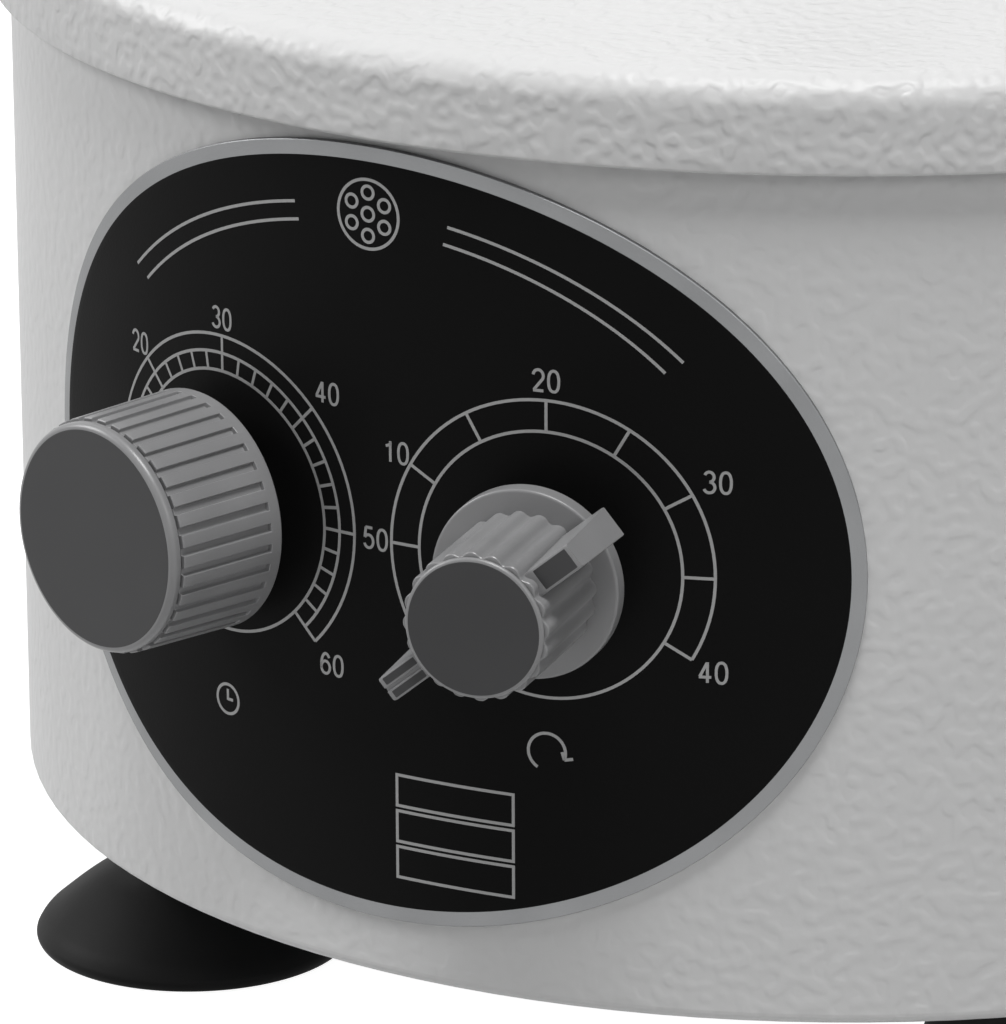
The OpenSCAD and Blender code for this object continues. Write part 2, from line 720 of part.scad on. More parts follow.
module fuse_holder() {
  color([0.1, 0.1, 0.1]) on_drum(180 + fuse_a, fuse_z) difference() {
    union() {
      translate([0, 0, -26]) cylinder(h = 26.5, r = fuse_body_r);
      cylinder(h = 2, r = 8.5);
      translate([0, 0, -6]) cylinder(h = 4, r = 9.2, $fn = 6);
    }
    translate([0, 0, -22]) cylinder(h = 40, r = 4.6);
  }
}

// Quarter-turn cap of the fuse holder
module fuse_cap() {
  color([0.1, 0.1, 0.1]) on_drum(180 + fuse_a, fuse_z) difference() {
    union() {
      translate([0, 0, -10]) cylinder(h = 12.2, r = 4.52);
      translate([0, 0, 2.15]) cylinder(h = 4.5, r = 6.6);
    }
    translate([-5, -0.7, 5.4]) cube([10, 1.4, 3]);
  }
}

// Lead bundles inside the drum, each swept along a few points from one terminal to the board
lead_r = 1.6;
lead_sides = 8;
run_r = body_r - 42;
run_z = plate_top + 8;
board_top = board_z + board_t;
function polar(r, a, z) = [r * cos(a), r * sin(a), z];
function inside(angle, depth, z) = polar(body_r - depth, angle - 90, z);
timer_tab = inside(-dial_s / body_r * 180 / PI - 5.2, -timer_front + 12.6, dial_z - timer_h / 2 - 8.3);
timer_lead = [timer_tab, timer_tab - [0, 0, 5], polar(run_r + 10, -116, run_z + 16),
              polar(run_r, -132, run_z + 2), polar(run_r, -158, run_z),
              polar(run_r, 176, run_z), polar(run_r, 152, run_z),
              [-board_w / 2 - 20, board_y - 8, run_z + 4], [-board_w / 2 - 5, board_y, board_top + 8],
              [-board_w / 2 + 4, board_y, board_top + 6], [-board_w / 2 + 5, board_y, board_top + 0.35]];
rocker_lead = [for (depth = [14.6, 17.6, 20.6]) inside(180 + rocker_a, depth, rocker_z),
               [-30, board_y + 14, board_top + 13], [-16, board_y + 13, board_top + 7],
               [-14, board_y + 13, board_top + 0.35]];
fuse_lead = [for (depth = [26.4, 28.4, 30.4]) inside(180 + fuse_a, depth, fuse_z),
             [34, board_y + 2, board_top + 9], [33, board_y, board_top + 0.35]];
motor_lead = [polar(can_r + 0.3, 80, can_z + 8), polar(can_r + 5, 80, can_z + 8),
              polar(can_r + 18, 82, can_z + 7),
              [7, board_y - board_d / 2 + 2, board_top + 13], [8, board_y - board_d / 2 + 5, board_top + 6],
              [8, board_y - board_d / 2 + 5, board_top + 0.35]];

function unit(v) = v / norm(v);
function spline(p, i, t) =
  let (a = p[max(i - 1, 0)], b = p[i], c = p[i + 1], d = p[min(i + 2, len(p) - 1)])
  0.5 * (2 * b + (c - a) * t + (2 * a - 5 * b + 4 * c - d) * t * t + (3 * b - a - 3 * c + d) * t * t * t);
function smooth(p, n = 3) =
  concat([for (i = [0:len(p) - 2], k = [0:n - 1]) spline(p, i, k / n)], [p[len(p) - 1]]);

module lead(points) {
  p = smooth(points);
  m = len(p) - 1;
  s = lead_sides;
  rings = [for (i = [0:m]) let (d = unit(p[min(i + 1, m)] - p[max(i - 1, 0)]),
    u = unit(cross(d, [0.31, 0.17, 0.94])), v = cross(d, u))
    for (k = [0:s - 1]) p[i] + lead_r * (cos(360 * k / s) * u + sin(360 * k / s) * v)];
  sides = [for (i = [0:m - 1], k = [0:s - 1]) let (a = i * s + k, b = i * s + (k + 1) % s)
    each [[a, b, b + s], [a, b + s, a + s]]];
  ends = [for (k = [1:s - 2]) each [[0, k + 1, k], [m * s, m * s + k, m * s + k + 1]]];
  polyhedron(rings, [for (f = concat(sides, ends)) [f[2], f[1], f[0]]]);
}

module wiring() {
  color("firebrick") for (p = [timer_lead, rocker_lead, fuse_lead, motor_lead]) lead(p);
}

// Pressed lid: skirt, rounded shoulder, flat rim and low crown
module lid_shell() {
  c = lid_r - lid_corner_r;
  flat = gasket_r - gasket_w / 2 - 6;
  crown_r = flat / 2;
  screw = 2.5 + loose;
  top = lid_z + lid_rise;
  rise = crown(flat, crown_r, lid_z, lid_rise);
  under = [for (i = [len(rise) - 1:-1:0]) rise[i] - [0, sheet]];
  color("white") difference() {
    rotate_extrude($fn = 180) polygon(concat(
      [[lid_r - sheet, lid_edge_z], [lid_r, lid_edge_z]], arc(c, lid_z - lid_corner_r, lid_corner_r, 0, 90),
      rise, [[screw, top], [screw, top - sheet]], under,
      arc(c, lid_z - lid_corner_r, lid_corner_r - sheet, 90, 0)));
    hinge_rivet_places() translate([0, 0, -3]) cylinder(h = 6, r = hinge_screw_r + loose);
  }
}

// Turned knob in the middle of the lid
module lid_knob() {
  r = lid_knob_d / 2;
  z = lid_z + lid_rise;
  color([0.1, 0.1, 0.1]) translate([0, 0, z]) difference() {
    rotate_extrude() polygon(concat(
      [[0, 0], [r - 7, 0], [r - 7, 1.5], [r - 9, 6], [r - 7.5, 10], [r - 2, 13.5]],
      arc(r - 2, 15.5, 2, -60, 60), [[r - 3.5, 20], [r - 9, 22.4], [0, 23]]));
    translate([0, 0, -1]) cylinder(h = 13, r = 2.5 + fit);
  }
}

module lid_knob_screw() {
  color("silver") translate([0, 0, lid_z + lid_rise - sheet]) rotate([180, 0, 0]) {
    cylinder(h = 1.2, r = 7);
    translate([0, 0, 1.2]) cylinder(h = 2.6, r = 4.6);
    translate([0, 0, -sheet - 11]) cylinder(h = sheet + 11.1, r = 2.5);
  }
}

// Spindle: tail for the fan, journal, and a shoulder that carries the rotor
module motor_shaft() {
  color("silver") {
    translate([0, 0, fan_z - 1]) cylinder(h = shaft_top - fan_z + 1, r = spindle_r);
    translate([0, 0, hub_z - 1.6]) cylinder(h = 1.6, r = spindle_r + 2.5);
  }
}

// Slotted iron stack with its winding heads
module armature() {
  color("peru") difference() {
    union() {
      translate([0, 0, stack_z]) cylinder(h = stack_top - stack_z, r = armature_r);
      translate([0, 0, stack_z - 4]) cylinder(h = stack_top - stack_z + 8, r = armature_r - 5);
    }
    at_ring(12, armature_r) translate([0, 0, stack_z - 1]) translate([-1.5, -1.2, 0]) cube([4, 2.4, 60]);
    translate([0, 0, stack_z - 10]) cylinder(h = 90, r = spindle_r + fit / 2);
  }
}

module commutator() {
  color("goldenrod") translate([0, 0, commutator_z]) difference() {
    cylinder(h = commutator_h, r = commutator_r);
    at_ring(12, commutator_r, 15) translate([-0.6, -0.3, -1]) cube([2, 0.6, commutator_h + 2]);
    translate([0, 0, -1]) cylinder(h = commutator_h + 2, r = spindle_r + fit / 2);
  }
}

module motor_fan() {
  color([0.15, 0.15, 0.15]) translate([0, 0, fan_z]) difference() {
    union() {
      cylinder(h = fan_h + 1.2, r = 9);
      translate([0, 0, fan_h]) cylinder(h = 1.2, r = fan_r);
      at_ring(8, 0) translate([8, -0.7, 0]) cube([fan_r - 8.4, 1.4, fan_h + 0.1]);
    }
    translate([0, 0, -1]) cylinder(h = fan_h + 4, r = spindle_r + fit / 2);
  }
}

// Cast head: hub, floor and a 45 degree dish, with a bored boss for each sleeve
module rotor_head() {
  under = tube_z - tube_r + sqrt(2) * (dish_l - dish_t);
  over = tube_z - tube_r + sqrt(2) * dish_l;
  rim = (tube_r + tube_z - under) / 2 + boss_r + 4;
  color("silver") difference() {
    union() {
      rotate_extrude($fn = 120) polygon([
        [spindle_r + fit / 2, hub_z], [hub_z - under, hub_z], [rim, rim + under], [rim + 4, rim + under],
        [rim + 4, rim + under + 7], [rim + under + 7 - over, rim + under + 7],
        [hub_z + 4.5 - over, hub_z + 4.5], [hub_r + 1, hub_z + 4.5], [hub_r, hub_z + 6],
        [hub_r, hub_top], [spindle_r + fit / 2, hub_top]]);
      for (i = [0:places - 1])
        at_place(i) translate([0, 0, seat_l - boss_l]) cylinder(h = boss_l, r = boss_r);
    }
    for (i = [0:places - 1])
      at_place(i) translate([0, 0, seat_l - 60]) cylinder(h = 70, r = sleeve_or + 2 * fit);
  }
}

// Domed nut on a washer that holds the head down
module rotor_nut() {
  color("silver") difference() {
    union() {
      translate([0, 0, hub_top]) cylinder(h = 1.6, r = hub_r - 1.5);
      translate([0, 0, hub_top + 1.6]) cylinder(h = 6, r = 7.5, $fn = 6);
      translate([0, 0, hub_top + 7.5]) intersection() {
        sphere(r = 6.5);
        cylinder(h = 10, r = 10);
      }
    }
    translate([0, 0, hub_top - 1]) cylinder(h = shaft_top + fit - hub_top + 1, r = spindle_r + fit / 2);
  }
}

// Round-bottomed sleeve with a collar that hangs on its boss
module tube_sleeve(i) {
  color("gainsboro") at_place(i) difference() {
    union() {
      cylinder(h = sleeve_l, r = sleeve_or);
      sphere(r = sleeve_or);
      translate([0, 0, seat_l]) cylinder(h = collar_t, r = collar_r);
    }
    cylinder(h = sleeve_l + 1, r = sleeve_r);
    sphere(r = sleeve_r);
  }
}

module sleeve_cushions() {
  color([0.15, 0.15, 0.15]) for (i = [0:places - 1]) at_place(i) intersection() {
    sphere(r = sleeve_r - fit);
    translate([0, 0, -sleeve_r]) cylinder(h = 3, r = sleeve_r);
  }
}

body_shell();
base_plate();
base_screws();
suction_feet();
foot_bolts();
bowl();
bowl_screws();
rim_gasket();
shaft_boot();
motor_can();
motor_upper_bell();
motor_lower_bell();
motor_bearings();
field_magnets();
brush_gear();
motor_bolts();
motor_bracket();
shock_mounts();
bracket_bolts();
hinge_body_leaf();
hinge_pin();
hinge_screws();
front_panel();
timer_case();
potentiometer();
panel_nuts();
control_board();
heatsink();
capacitor();
board_standoffs();
cord_gland();
rocker_housing();
fuse_holder();
wiring();
lid_shell();
lid_knob();
lid_knob_screw();
hinge_lid_leaf();
hinge_rivets();
motor_shaft();
armature();
commutator();
motor_fan();
rotor_head();
rotor_nut();
tube_sleeve(0);  // tube_sleeve_1
tube_sleeve(1);  // tube_sleeve_2
tube_sleeve(2);  // tube_sleeve_3
tube_sleeve(3);  // tube_sleeve_4
tube_sleeve(4);  // tube_sleeve_5
tube_sleeve(5);  // tube_sleeve_6
sleeve_cushions();
timer_shaft();
timer_knob();
timer_knob_cap();
pot_shaft();
speed_knob();
speed_knob_cap();
rocker_button();
fuse_cap();
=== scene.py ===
import json
import math

import bpy
import numpy as np
from mathutils import Matrix, Vector


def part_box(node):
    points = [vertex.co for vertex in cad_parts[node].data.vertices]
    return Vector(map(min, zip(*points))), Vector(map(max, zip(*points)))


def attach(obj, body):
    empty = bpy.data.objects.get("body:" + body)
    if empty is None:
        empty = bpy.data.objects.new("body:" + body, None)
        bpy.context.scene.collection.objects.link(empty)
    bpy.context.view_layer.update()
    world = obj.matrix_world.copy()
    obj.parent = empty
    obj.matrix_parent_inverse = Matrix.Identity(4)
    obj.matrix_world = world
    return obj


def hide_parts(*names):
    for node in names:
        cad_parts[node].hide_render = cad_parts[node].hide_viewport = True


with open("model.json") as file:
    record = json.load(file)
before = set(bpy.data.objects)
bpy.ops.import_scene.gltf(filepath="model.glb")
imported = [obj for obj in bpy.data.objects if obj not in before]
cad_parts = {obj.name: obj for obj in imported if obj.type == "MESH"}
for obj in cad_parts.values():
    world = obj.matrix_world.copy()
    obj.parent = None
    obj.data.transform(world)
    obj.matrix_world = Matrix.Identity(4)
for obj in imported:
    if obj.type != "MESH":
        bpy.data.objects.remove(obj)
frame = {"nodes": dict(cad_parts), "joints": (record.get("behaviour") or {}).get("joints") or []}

# Lengths are metres, and a size in millimetres is written times mm
mm = 0.001
nodes = frame["nodes"]
joints = {joint["name"]: joint for joint in frame["joints"]}
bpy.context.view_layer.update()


def extent(node):
    low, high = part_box(node)
    return np.array(low), np.array(high)


# Main levels and radii, read from the frame
drumLow, drumHigh = extent("body_shell")
lidLow, lidHigh = extent("lid_shell")
panelLow, panelHigh = extent("front_panel")
drum = {"radius": drumHigh[0], "bottom": drumLow[2], "deck": drumHigh[2]}


def dialPlace(joint):
    x, y, z = joints[joint]["pos_m"]
    return math.atan2(x, -y), z


timerAngle, dialZ = dialPlace("timer_knob_turn")
speedAngle, dialZ = dialPlace("speed_knob_turn")


# Colours and nodes

def shade(hexText):
    # sRGB hex to linear: a straight line below the knee and a power of 2.4 above it
    raw = np.array([int(hexText[i:i + 2], 16) for i in (1, 3, 5)]) / 255
    return (*np.where(raw <= 0.04045, raw / 12.92, ((raw + 0.055) / 1.055) ** 2.4).tolist(), 1.0)


def addNode(tree, kind, settings=None, inputs=None):
    node = tree.nodes.new(kind)
    for key, value in (settings or {}).items():
        setattr(node, key, value)
    for key, value in (inputs or {}).items():
        if isinstance(value, bpy.types.NodeSocket):
            tree.links.new(value, node.inputs[key])
        else:
            node.inputs[key].default_value = value
    return node


def ringVector(tree, place):
    # distance from the drum's axis, and height: what a lathe on that axis leaves the same all round
    flat = addNode(tree, "ShaderNodeVectorMath", {"operation": "MULTIPLY"}, {0: place, 1: (1, 1, 0)})
    away = addNode(tree, "ShaderNodeVectorMath", {"operation": "LENGTH"}, {0: flat.outputs[0]})
    parts = addNode(tree, "ShaderNodeSeparateXYZ", None, {0: place})
    both = addNode(tree, "ShaderNodeCombineXYZ", None, {"X": away.outputs["Value"], "Z": parts.outputs["Z"]})
    return both.outputs[0]


def brushVector(tree, place):
    # height in full and a small share of the ways across, which draws a grain out into level lines
    drawn = addNode(tree, "ShaderNodeVectorMath", {"operation": "MULTIPLY"}, {0: place, 1: (0.04, 0.04, 1)})
    return drawn.outputs[0]


def finish(name, look):
    # a base colour that drifts towards a second one, a roughness that drifts with it, and layers of
    # relief: each is a kind of noise with the size of its grain and its height, both in mm
    material = bpy.data.materials.new(name)
    material.use_nodes = True
    tree = material.node_tree
    shader = tree.nodes["Principled BSDF"]
    place = addNode(tree, "ShaderNodeTexCoord").outputs["Object"]
    cloud = addNode(tree, "ShaderNodeTexNoise", None,
                    {"Vector": place, "Scale": 1 / (look["drift"] * mm), "Detail": 1.0, "Roughness": 0.4})
    tint = addNode(tree, "ShaderNodeMix", {"data_type": "RGBA"},
                   {0: cloud.outputs["Fac"], 6: shade(look["colour"]), 7: shade(look["second"])})
    tree.links.new(tint.outputs[2], shader.inputs["Base Color"])
    rough = look["rough"]
    spread = look.get("spread", 0.06)
    sheen = addNode(tree, "ShaderNodeMapRange", None,
                    {"Value": cloud.outputs["Fac"], "From Min": 0.1, "From Max": 0.9,
                     "To Min": rough - spread, "To Max": rough + spread})
    tree.links.new(sheen.outputs[0], shader.inputs["Roughness"])
    shader.inputs["Metallic"].default_value = look.get("metal", 0.0)
    if "coat" in look:
        shader.inputs["Coat Weight"].default_value = look["coat"]
        shader.inputs["Coat Roughness"].default_value = 0.2
    if "spec" in look:
        shader.inputs["Specular IOR Level"].default_value = look["spec"]
    drawnOut = {"turned": ringVector, "brushed": brushVector}
    bump = None
    for kind, size, height in look.get("relief", ()):
        settings = {"Vector": drawnOut[kind](tree, place) if kind in drawnOut else place,
                    "Scale": 1 / (size * mm),
                    "Detail": 0.0 if kind == "peel" else 2.0, "Roughness": 0.5}
        rise = addNode(tree, "ShaderNodeTexNoise", None, settings).outputs["Fac"]
        if kind == "peel":
            # round the tops off, as paint does when it flows: an S curve between two levels
            rise = addNode(tree, "ShaderNodeMapRange", {"interpolation_type": "SMOOTHSTEP"},
                           {"Value": rise, "From Min": 0.3, "From Max": 0.72}).outputs[0]
        links = {"Height": rise, "Distance": height * mm, "Strength": 1.0}
        if bump:
            links["Normal"] = bump.outputs[0]
        bump = addNode(tree, "ShaderNodeBump", None, links)
    if bump:
        tree.links.new(bump.outputs[0], shader.inputs["Normal"])
    return material


# Each finish is named for the real one. colour and second are the two ends of its drift, drift is
# the size of that drift in mm, and relief lists (kind, grain in mm, height in mm)
looks = {
    # Polyester powder coat, thick and hammered: soft highlights broken by bumps a few mm across
    "powderCoatLid": {"colour": "#D0D0D0", "second": "#C9C9C9", "drift": 60, "spec": 0.3, "rough": 0.4,
                      "relief": [("peel", 2.2, 0.15), ("grain", 0.9, 0.02)]},
    # The same coat on the rolled drum, where it has flowed flatter: a faint orange peel
    "powderCoatDrum": {"colour": "#D4D4D4", "second": "#CCCCCC", "drift": 70, "spec": 0.3, "rough": 0.38,
                       "relief": [("peel", 2.3, 0.09), ("grain", 0.8, 0.015)]},
    # Zinc-plated sheet: dull silver with soft clouds
    "zincSheet": {"colour": "#B4B6B8", "second": "#9C9FA2", "drift": 9, "rough": 0.42, "metal": 1.0,
                  "relief": [("grain", 1.2, 0.01)]},
    # Zinc-plated fasteners: brighter, finely rough
    "zincScrew": {"colour": "#C2C3C4", "second": "#A3A5A8", "drift": 3, "rough": 0.3, "metal": 1.0,
                  "relief": [("grain", 0.4, 0.006)]},
    # Moulded natural rubber, satin, with a fine dusty grain
    "mouldedRubber": {"colour": "#121212", "second": "#1A1A1A", "drift": 14, "rough": 0.56, "spread": 0.08,
                      "spec": 0.12,
                      "relief": [("grain", 1.4, 0.02), ("grain", 0.5, 0.012)]},
    # Extruded seal rubber, duller than the feet
    "sealRubber": {"colour": "#202021", "second": "#2C2C2D", "drift": 10, "rough": 0.6,
                   "relief": [("grain", 0.8, 0.02)]},
    # Spun stainless sheet: fine rings left by the forming roller
    "spunStainless": {"colour": "#C6C7C8", "second": "#B2B4B6", "drift": 40, "rough": 0.27, "metal": 1.0,
                      "relief": [("turned", 0.9, 0.012), ("turned", 3.5, 0.02)]},
    # Gloss enamel on the motor
    "motorEnamel": {"colour": "#1A1C1F", "second": "#222529", "drift": 25, "rough": 0.22, "coat": 0.4,
                    "relief": [("grain", 2.0, 0.02)]},
    # Die-cast aluminium, bare: grey, grainy
    "dieCast": {"colour": "#A7A9AB", "second": "#8F9194", "drift": 6, "rough": 0.5, "metal": 1.0,
                "relief": [("grain", 0.8, 0.03)]},
    # Turned aluminium alloy: even rings that catch the light
    "turnedAlloy": {"colour": "#C3C5C7", "second": "#B4B6B9", "drift": 18, "rough": 0.3, "metal": 1.0,
                    "relief": [("turned", 0.5, 0.012)]},
    # Drawn and anodised aluminium sleeves: silky
    "anodisedSleeve": {"colour": "#CDCFD1", "second": "#BFC1C4", "drift": 9, "rough": 0.33, "metal": 1.0,
                       "relief": [("brushed", 0.6, 0.006)]},
    # Ground steel
    "groundSteel": {"colour": "#BDBEC0", "second": "#A9ABAE", "drift": 8, "rough": 0.2, "metal": 1.0,
                    "relief": [("brushed", 0.4, 0.004)]},
    # Satin nickel-plated hinge leaves
    "satinNickel": {"colour": "#BBBAB6", "second": "#A5A4A0", "drift": 7, "rough": 0.36, "metal": 1.0,
                    "relief": [("brushed", 0.5, 0.006)]},
    # Sintered ferrite: dark grey, dull and granular
    "sinteredFerrite": {"colour": "#2B2B2C", "second": "#363637", "drift": 4, "rough": 0.6,
                        "relief": [("grain", 0.6, 0.03)]},
    # Stamped brass: yellow, satin, with faint clouds
    "stampedBrass": {"colour": "#B4924F", "second": "#9B7C3F", "drift": 5, "rough": 0.35, "metal": 1.0,
                     "relief": [("grain", 0.5, 0.01)]},
    # Satin screen ink over an etched plate: black with a fine grain
    "satinPanelInk": {"colour": "#0C0C0C", "second": "#101010", "drift": 22, "rough": 0.5, "spread": 0.05,
                      "spec": 0.04,
                      "relief": [("grain", 0.55, 0.022)]},
    # Rolled aluminium sheet, matt silver, with a fine even grain
    "brushedPlate": {"colour": "#8C8D8E", "second": "#808182", "drift": 12, "rough": 0.42, "metal": 1.0,
                     "relief": [("grain", 0.4, 0.03)]},
    # Silver screen ink: matt, with tiny flakes
    "silverInk": {"colour": "#8C8C8C", "second": "#9A9A9A", "drift": 0.8, "rough": 0.5, "metal": 0.35,
                  "relief": [("grain", 0.3, 0.008)]},
    # Plated steel box of the timer: warm grey, satin
    "platedTimerCase": {"colour": "#AFAD9F", "second": "#9A988B", "drift": 8, "rough": 0.34, "metal": 1.0,
                        "relief": [("grain", 0.7, 0.008)]},
    # Glass-fibre laminate with a green mask
    "greenLaminate": {"colour": "#1B5A2E", "second": "#174E28", "drift": 6, "rough": 0.35,
                      "relief": [("grain", 0.5, 0.01)]},
    # Heat-shrunk film on the capacitor: blue, glossy, drawn tight
    "shrinkSleeve": {"colour": "#1F3F86", "second": "#1A3674", "drift": 9, "rough": 0.25, "coat": 0.3,
                     "relief": [("grain", 1.5, 0.01)]},
    # Moulded nylon: milky, satin
    "nylon": {"colour": "#DDDBD0", "second": "#D3D1C4", "drift": 5, "rough": 0.4,
              "relief": [("grain", 0.7, 0.01)]},
    # Moulded ABS, spark-eroded texture
    "blackAbs": {"colour": "#1A1A1B", "second": "#212122", "drift": 8, "rough": 0.42,
                 "relief": [("grain", 0.5, 0.014)]},
    # Extruded PVC round the leads: red, smooth, half gloss
    "pvcInsulation": {"colour": "#9C1E1B", "second": "#8A1917", "drift": 7, "rough": 0.35,
                      "relief": [("grain", 1.5, 0.01)]},
    # Wound enamelled wire: reddish, with the ridges of its turns
    "woundCopper": {"colour": "#B4683A", "second": "#9A5530", "drift": 2, "rough": 0.32, "metal": 1.0,
                    "relief": [("brushed", 0.5, 0.03)]},
    # Moulded ABS, mid grey, satin: the knobs' sides, and the ring round each cap's darker disc, which is a
    # painted highlight on the cap's edge
    "greyAbs": {"colour": "#7C7C7D", "second": "#858586", "drift": 9, "rough": 0.34,
                "relief": [("grain", 0.6, 0.012)]},
    # The knobs' grey, darkened as painted shade for their forward faces, with a finer skin: the discs on the
    # caps and the strips on the bar
    "paintedShadeAbs": {"colour": "#383839", "second": "#3E3E3F", "drift": 16, "rough": 0.36, "spread": 0.04,
               "spec": 0.25,
               "relief": [("grain", 0.5, 0.006)]},
}
finishes = {name: finish(name, look) for name, look in looks.items()}
slotFinish = {
    "enamel": "powderCoatDrum", "plated_steel": "zincSheet", "foot_rubber": "mouldedRubber",
    "stainless": "spunStainless", "seal_rubber": "sealRubber", "motor_paint": "motorEnamel",
    "cast_alloy": "dieCast", "rotor_alloy": "turnedAlloy", "sleeve_metal": "anodisedSleeve",
    "bright_steel": "groundSteel", "hinge_steel": "satinNickel", "ferrite": "sinteredFerrite",
    "brush_holder": "stampedBrass", "panel_black": "satinPanelInk", "timer_metal": "platedTimerCase",
    "board_green": "greenLaminate", "capacitor_sleeve": "shrinkSleeve", "nylon": "nylon",
    "black_plastic": "blackAbs", "wire_red": "pvcInsulation", "copper": "woundCopper",
    "knob_grey": "greyAbs", "cap_grey": "paintedShadeAbs"}
for node in nodes.values():
    node.material_slots[0].material = finishes[slotFinish[node.material_slots[0].material.name]]
print("stage finishes:", len(finishes))


# Surfaces on grids

def gridFaces(rows, cols, wrapRows):
    # each cell joins a point, its neighbour along the columns, the one after both, and the next row's
    i = np.arange(rows if wrapRows else rows - 1)[:, None]
    j = np.arange(cols)[None, :]
    nextRow, nextCol = (i + 1) % rows, (j + 1) % cols
    corners = [i * cols + j, i * cols + nextCol, nextRow * cols + nextCol, nextRow * cols + j]
    return np.stack(np.broadcast_arrays(*corners), -1).reshape(-1, 4)


def fan(ring, centre):
    return np.stack([ring, np.roll(ring, -1), np.full(len(ring), centre)], -1)


def volume(points, faces):
    # six times the sum of the signed tetrahedra between the origin and each triangle
    total = 0.0
    middle = points.mean(0)
    for block in faces:
        for k in range(1, block.shape[1] - 1):
            a, b, c = (points[block[:, i]] - middle for i in (0, k, k + 1))
            total += np.einsum("ij,ij->i", a, np.cross(b, c)).sum()
    return total


def solid(grid, wrapRows=False):
    # a closed skin from a grid whose columns go round; its open ends are closed by a fan
    rows, cols = grid.shape[:2]
    points = grid.reshape(-1, 3)
    faces = [gridFaces(rows, cols, wrapRows)]
    if not wrapRows:
        for row in (0, rows - 1):
            ring = np.arange(cols) + row * cols
            faces.append(fan(ring[::-1] if row == 0 else ring, len(points)))
            points = np.vstack([points, grid[row].mean(0)])
    if volume(points, faces) < 0:
        faces = [block[:, ::-1] for block in faces]
    return points, faces


def merged(parts):
    points, faces, count = [], [], 0
    for somePoints, someFaces in parts:
        points.append(somePoints)
        faces += [block + count for block in someFaces]
        count += len(somePoints)
    return np.vstack(points), faces


def piece(name, parts, look, body, replaced=(), place=None, sharp=32):
    points, faces = merged(parts)
    if place is not None:
        points = points @ place[0].T + place[1]
    corner = np.concatenate([block.ravel() for block in faces])
    size = np.concatenate([np.full(len(block), block.shape[1]) for block in faces])
    mesh = bpy.data.meshes.new(name)
    mesh.vertices.add(len(points))
    mesh.vertices.foreach_set("co", points.astype(np.float32).ravel())
    mesh.loops.add(len(corner))
    mesh.loops.foreach_set("vertex_index", corner.astype(np.int32))
    mesh.polygons.add(len(size))
    mesh.polygons.foreach_set("loop_start", (np.cumsum(size) - size).astype(np.int32))
    mesh.update(calc_edges=True)
    mesh.validate()
    mesh.shade_smooth()
    mesh.set_sharp_from_angle(angle=math.radians(sharp))
    mesh.materials.append(finishes[look])
    thing = bpy.data.objects.new(name, mesh)
    bpy.context.scene.collection.objects.link(thing)
    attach(thing, body)
    if replaced:
        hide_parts(*replaced)
    return thing


def arc(across, along, radius, start, end, steps=6):
    angle = np.radians(np.linspace(start, end, steps + 1))
    return np.stack([across + radius * np.cos(angle), along + radius * np.sin(angle)], -1)


def softened(corners, steps=4):
    # each corner (across, along, softness) becomes a curve from one side to the other: the quadratic
    # blend of the two tangent points and the corner; a softness of 0 leaves the corner as it is
    spots = np.array([corner[:2] for corner in corners], float)
    out = [spots[:1]]
    for k in range(1, len(spots) - 1):
        soft = corners[k][2]
        if soft == 0:
            out.append(spots[k:k + 1])
            continue
        before, after = spots[k - 1] - spots[k], spots[k + 1] - spots[k]
        a = spots[k] + before * min(0.49, soft / np.linalg.norm(before))
        b = spots[k] + after * min(0.49, soft / np.linalg.norm(after))
        t = np.linspace(0, 1, steps + 1)[:, None]
        out.append((1 - t) ** 2 * a + 2 * t * (1 - t) * spots[k] + t ** 2 * b)
    out.append(spots[-1:])
    return np.vstack(out)


def revolved(profile, cols, radial=None):
    # the profile's first number is the radius and its second the height; each column is it turned by
    # the column's angle, and the depths in radial, one for each point of the grid, come off the radius
    angle = np.arange(cols) / cols * 2 * math.pi if np.isscalar(cols) else cols
    radius = np.repeat(profile[:, :1], len(angle), 1)
    if radial is not None:
        radius = radius - radial
    height = np.repeat(profile[:, 1:2], len(angle), 1)
    return np.stack([radius * np.cos(angle), radius * np.sin(angle), height], -1)


def onDrum(angle, z):
    # axes of a piece fixed to the drum's side: round it, up it, and outward from its skin
    c, s = math.cos(angle), math.sin(angle)
    axes = np.array([[c, 0, s], [s, 0, -c], [0, 1, 0]])
    return axes, np.array([drum["radius"] * s, -drum["radius"] * c, z])


def onSkin(across, up, out):
    # wraps flat artwork on the drum: the way round becomes an angle
    angle = across / drum["radius"]
    radius = drum["radius"] + out
    return np.stack(np.broadcast_arrays(radius * np.sin(angle), -radius * np.cos(angle), up), -1)


# Camera: to the right of the front and above it, a long lens from 1.3 m
view = {"place": (0.60627, -1.02922, 0.46131), "ahead": (-0.520411, 0.795096, -0.311439),
        "up": (-0.166787, 0.26305, 0.950256), "lens": 251.66, "sensor": 36.0}


def makeCamera():
    data = bpy.data.cameras.new("camera")
    data.sensor_width = view["sensor"]
    data.lens = view["lens"]
    data.clip_start, data.clip_end = 0.05, 20
    camera = bpy.data.objects.new("camera", data)
    bpy.context.scene.collection.objects.link(camera)
    back = -Vector(view["ahead"]).normalized()
    right = Vector(view["up"]).cross(back).normalized()
    axes = Matrix((right, back.cross(right), back)).transposed().to_4x4()
    camera.matrix_world = Matrix.Translation(view["place"]) @ axes
    bpy.context.scene.camera = camera


makeCamera()


# Lid: one pressed shell with a rounded lower edge
lidPress = {"sheet": 1.2 * mm, "shoulder": 5 * mm, "rise": 6 * mm, "roll": 0.6 * mm, "screwHole": 2.7 * mm,
            "crownOut": 118.2 * mm, "crownIn": 59.1 * mm, "cols": 400}


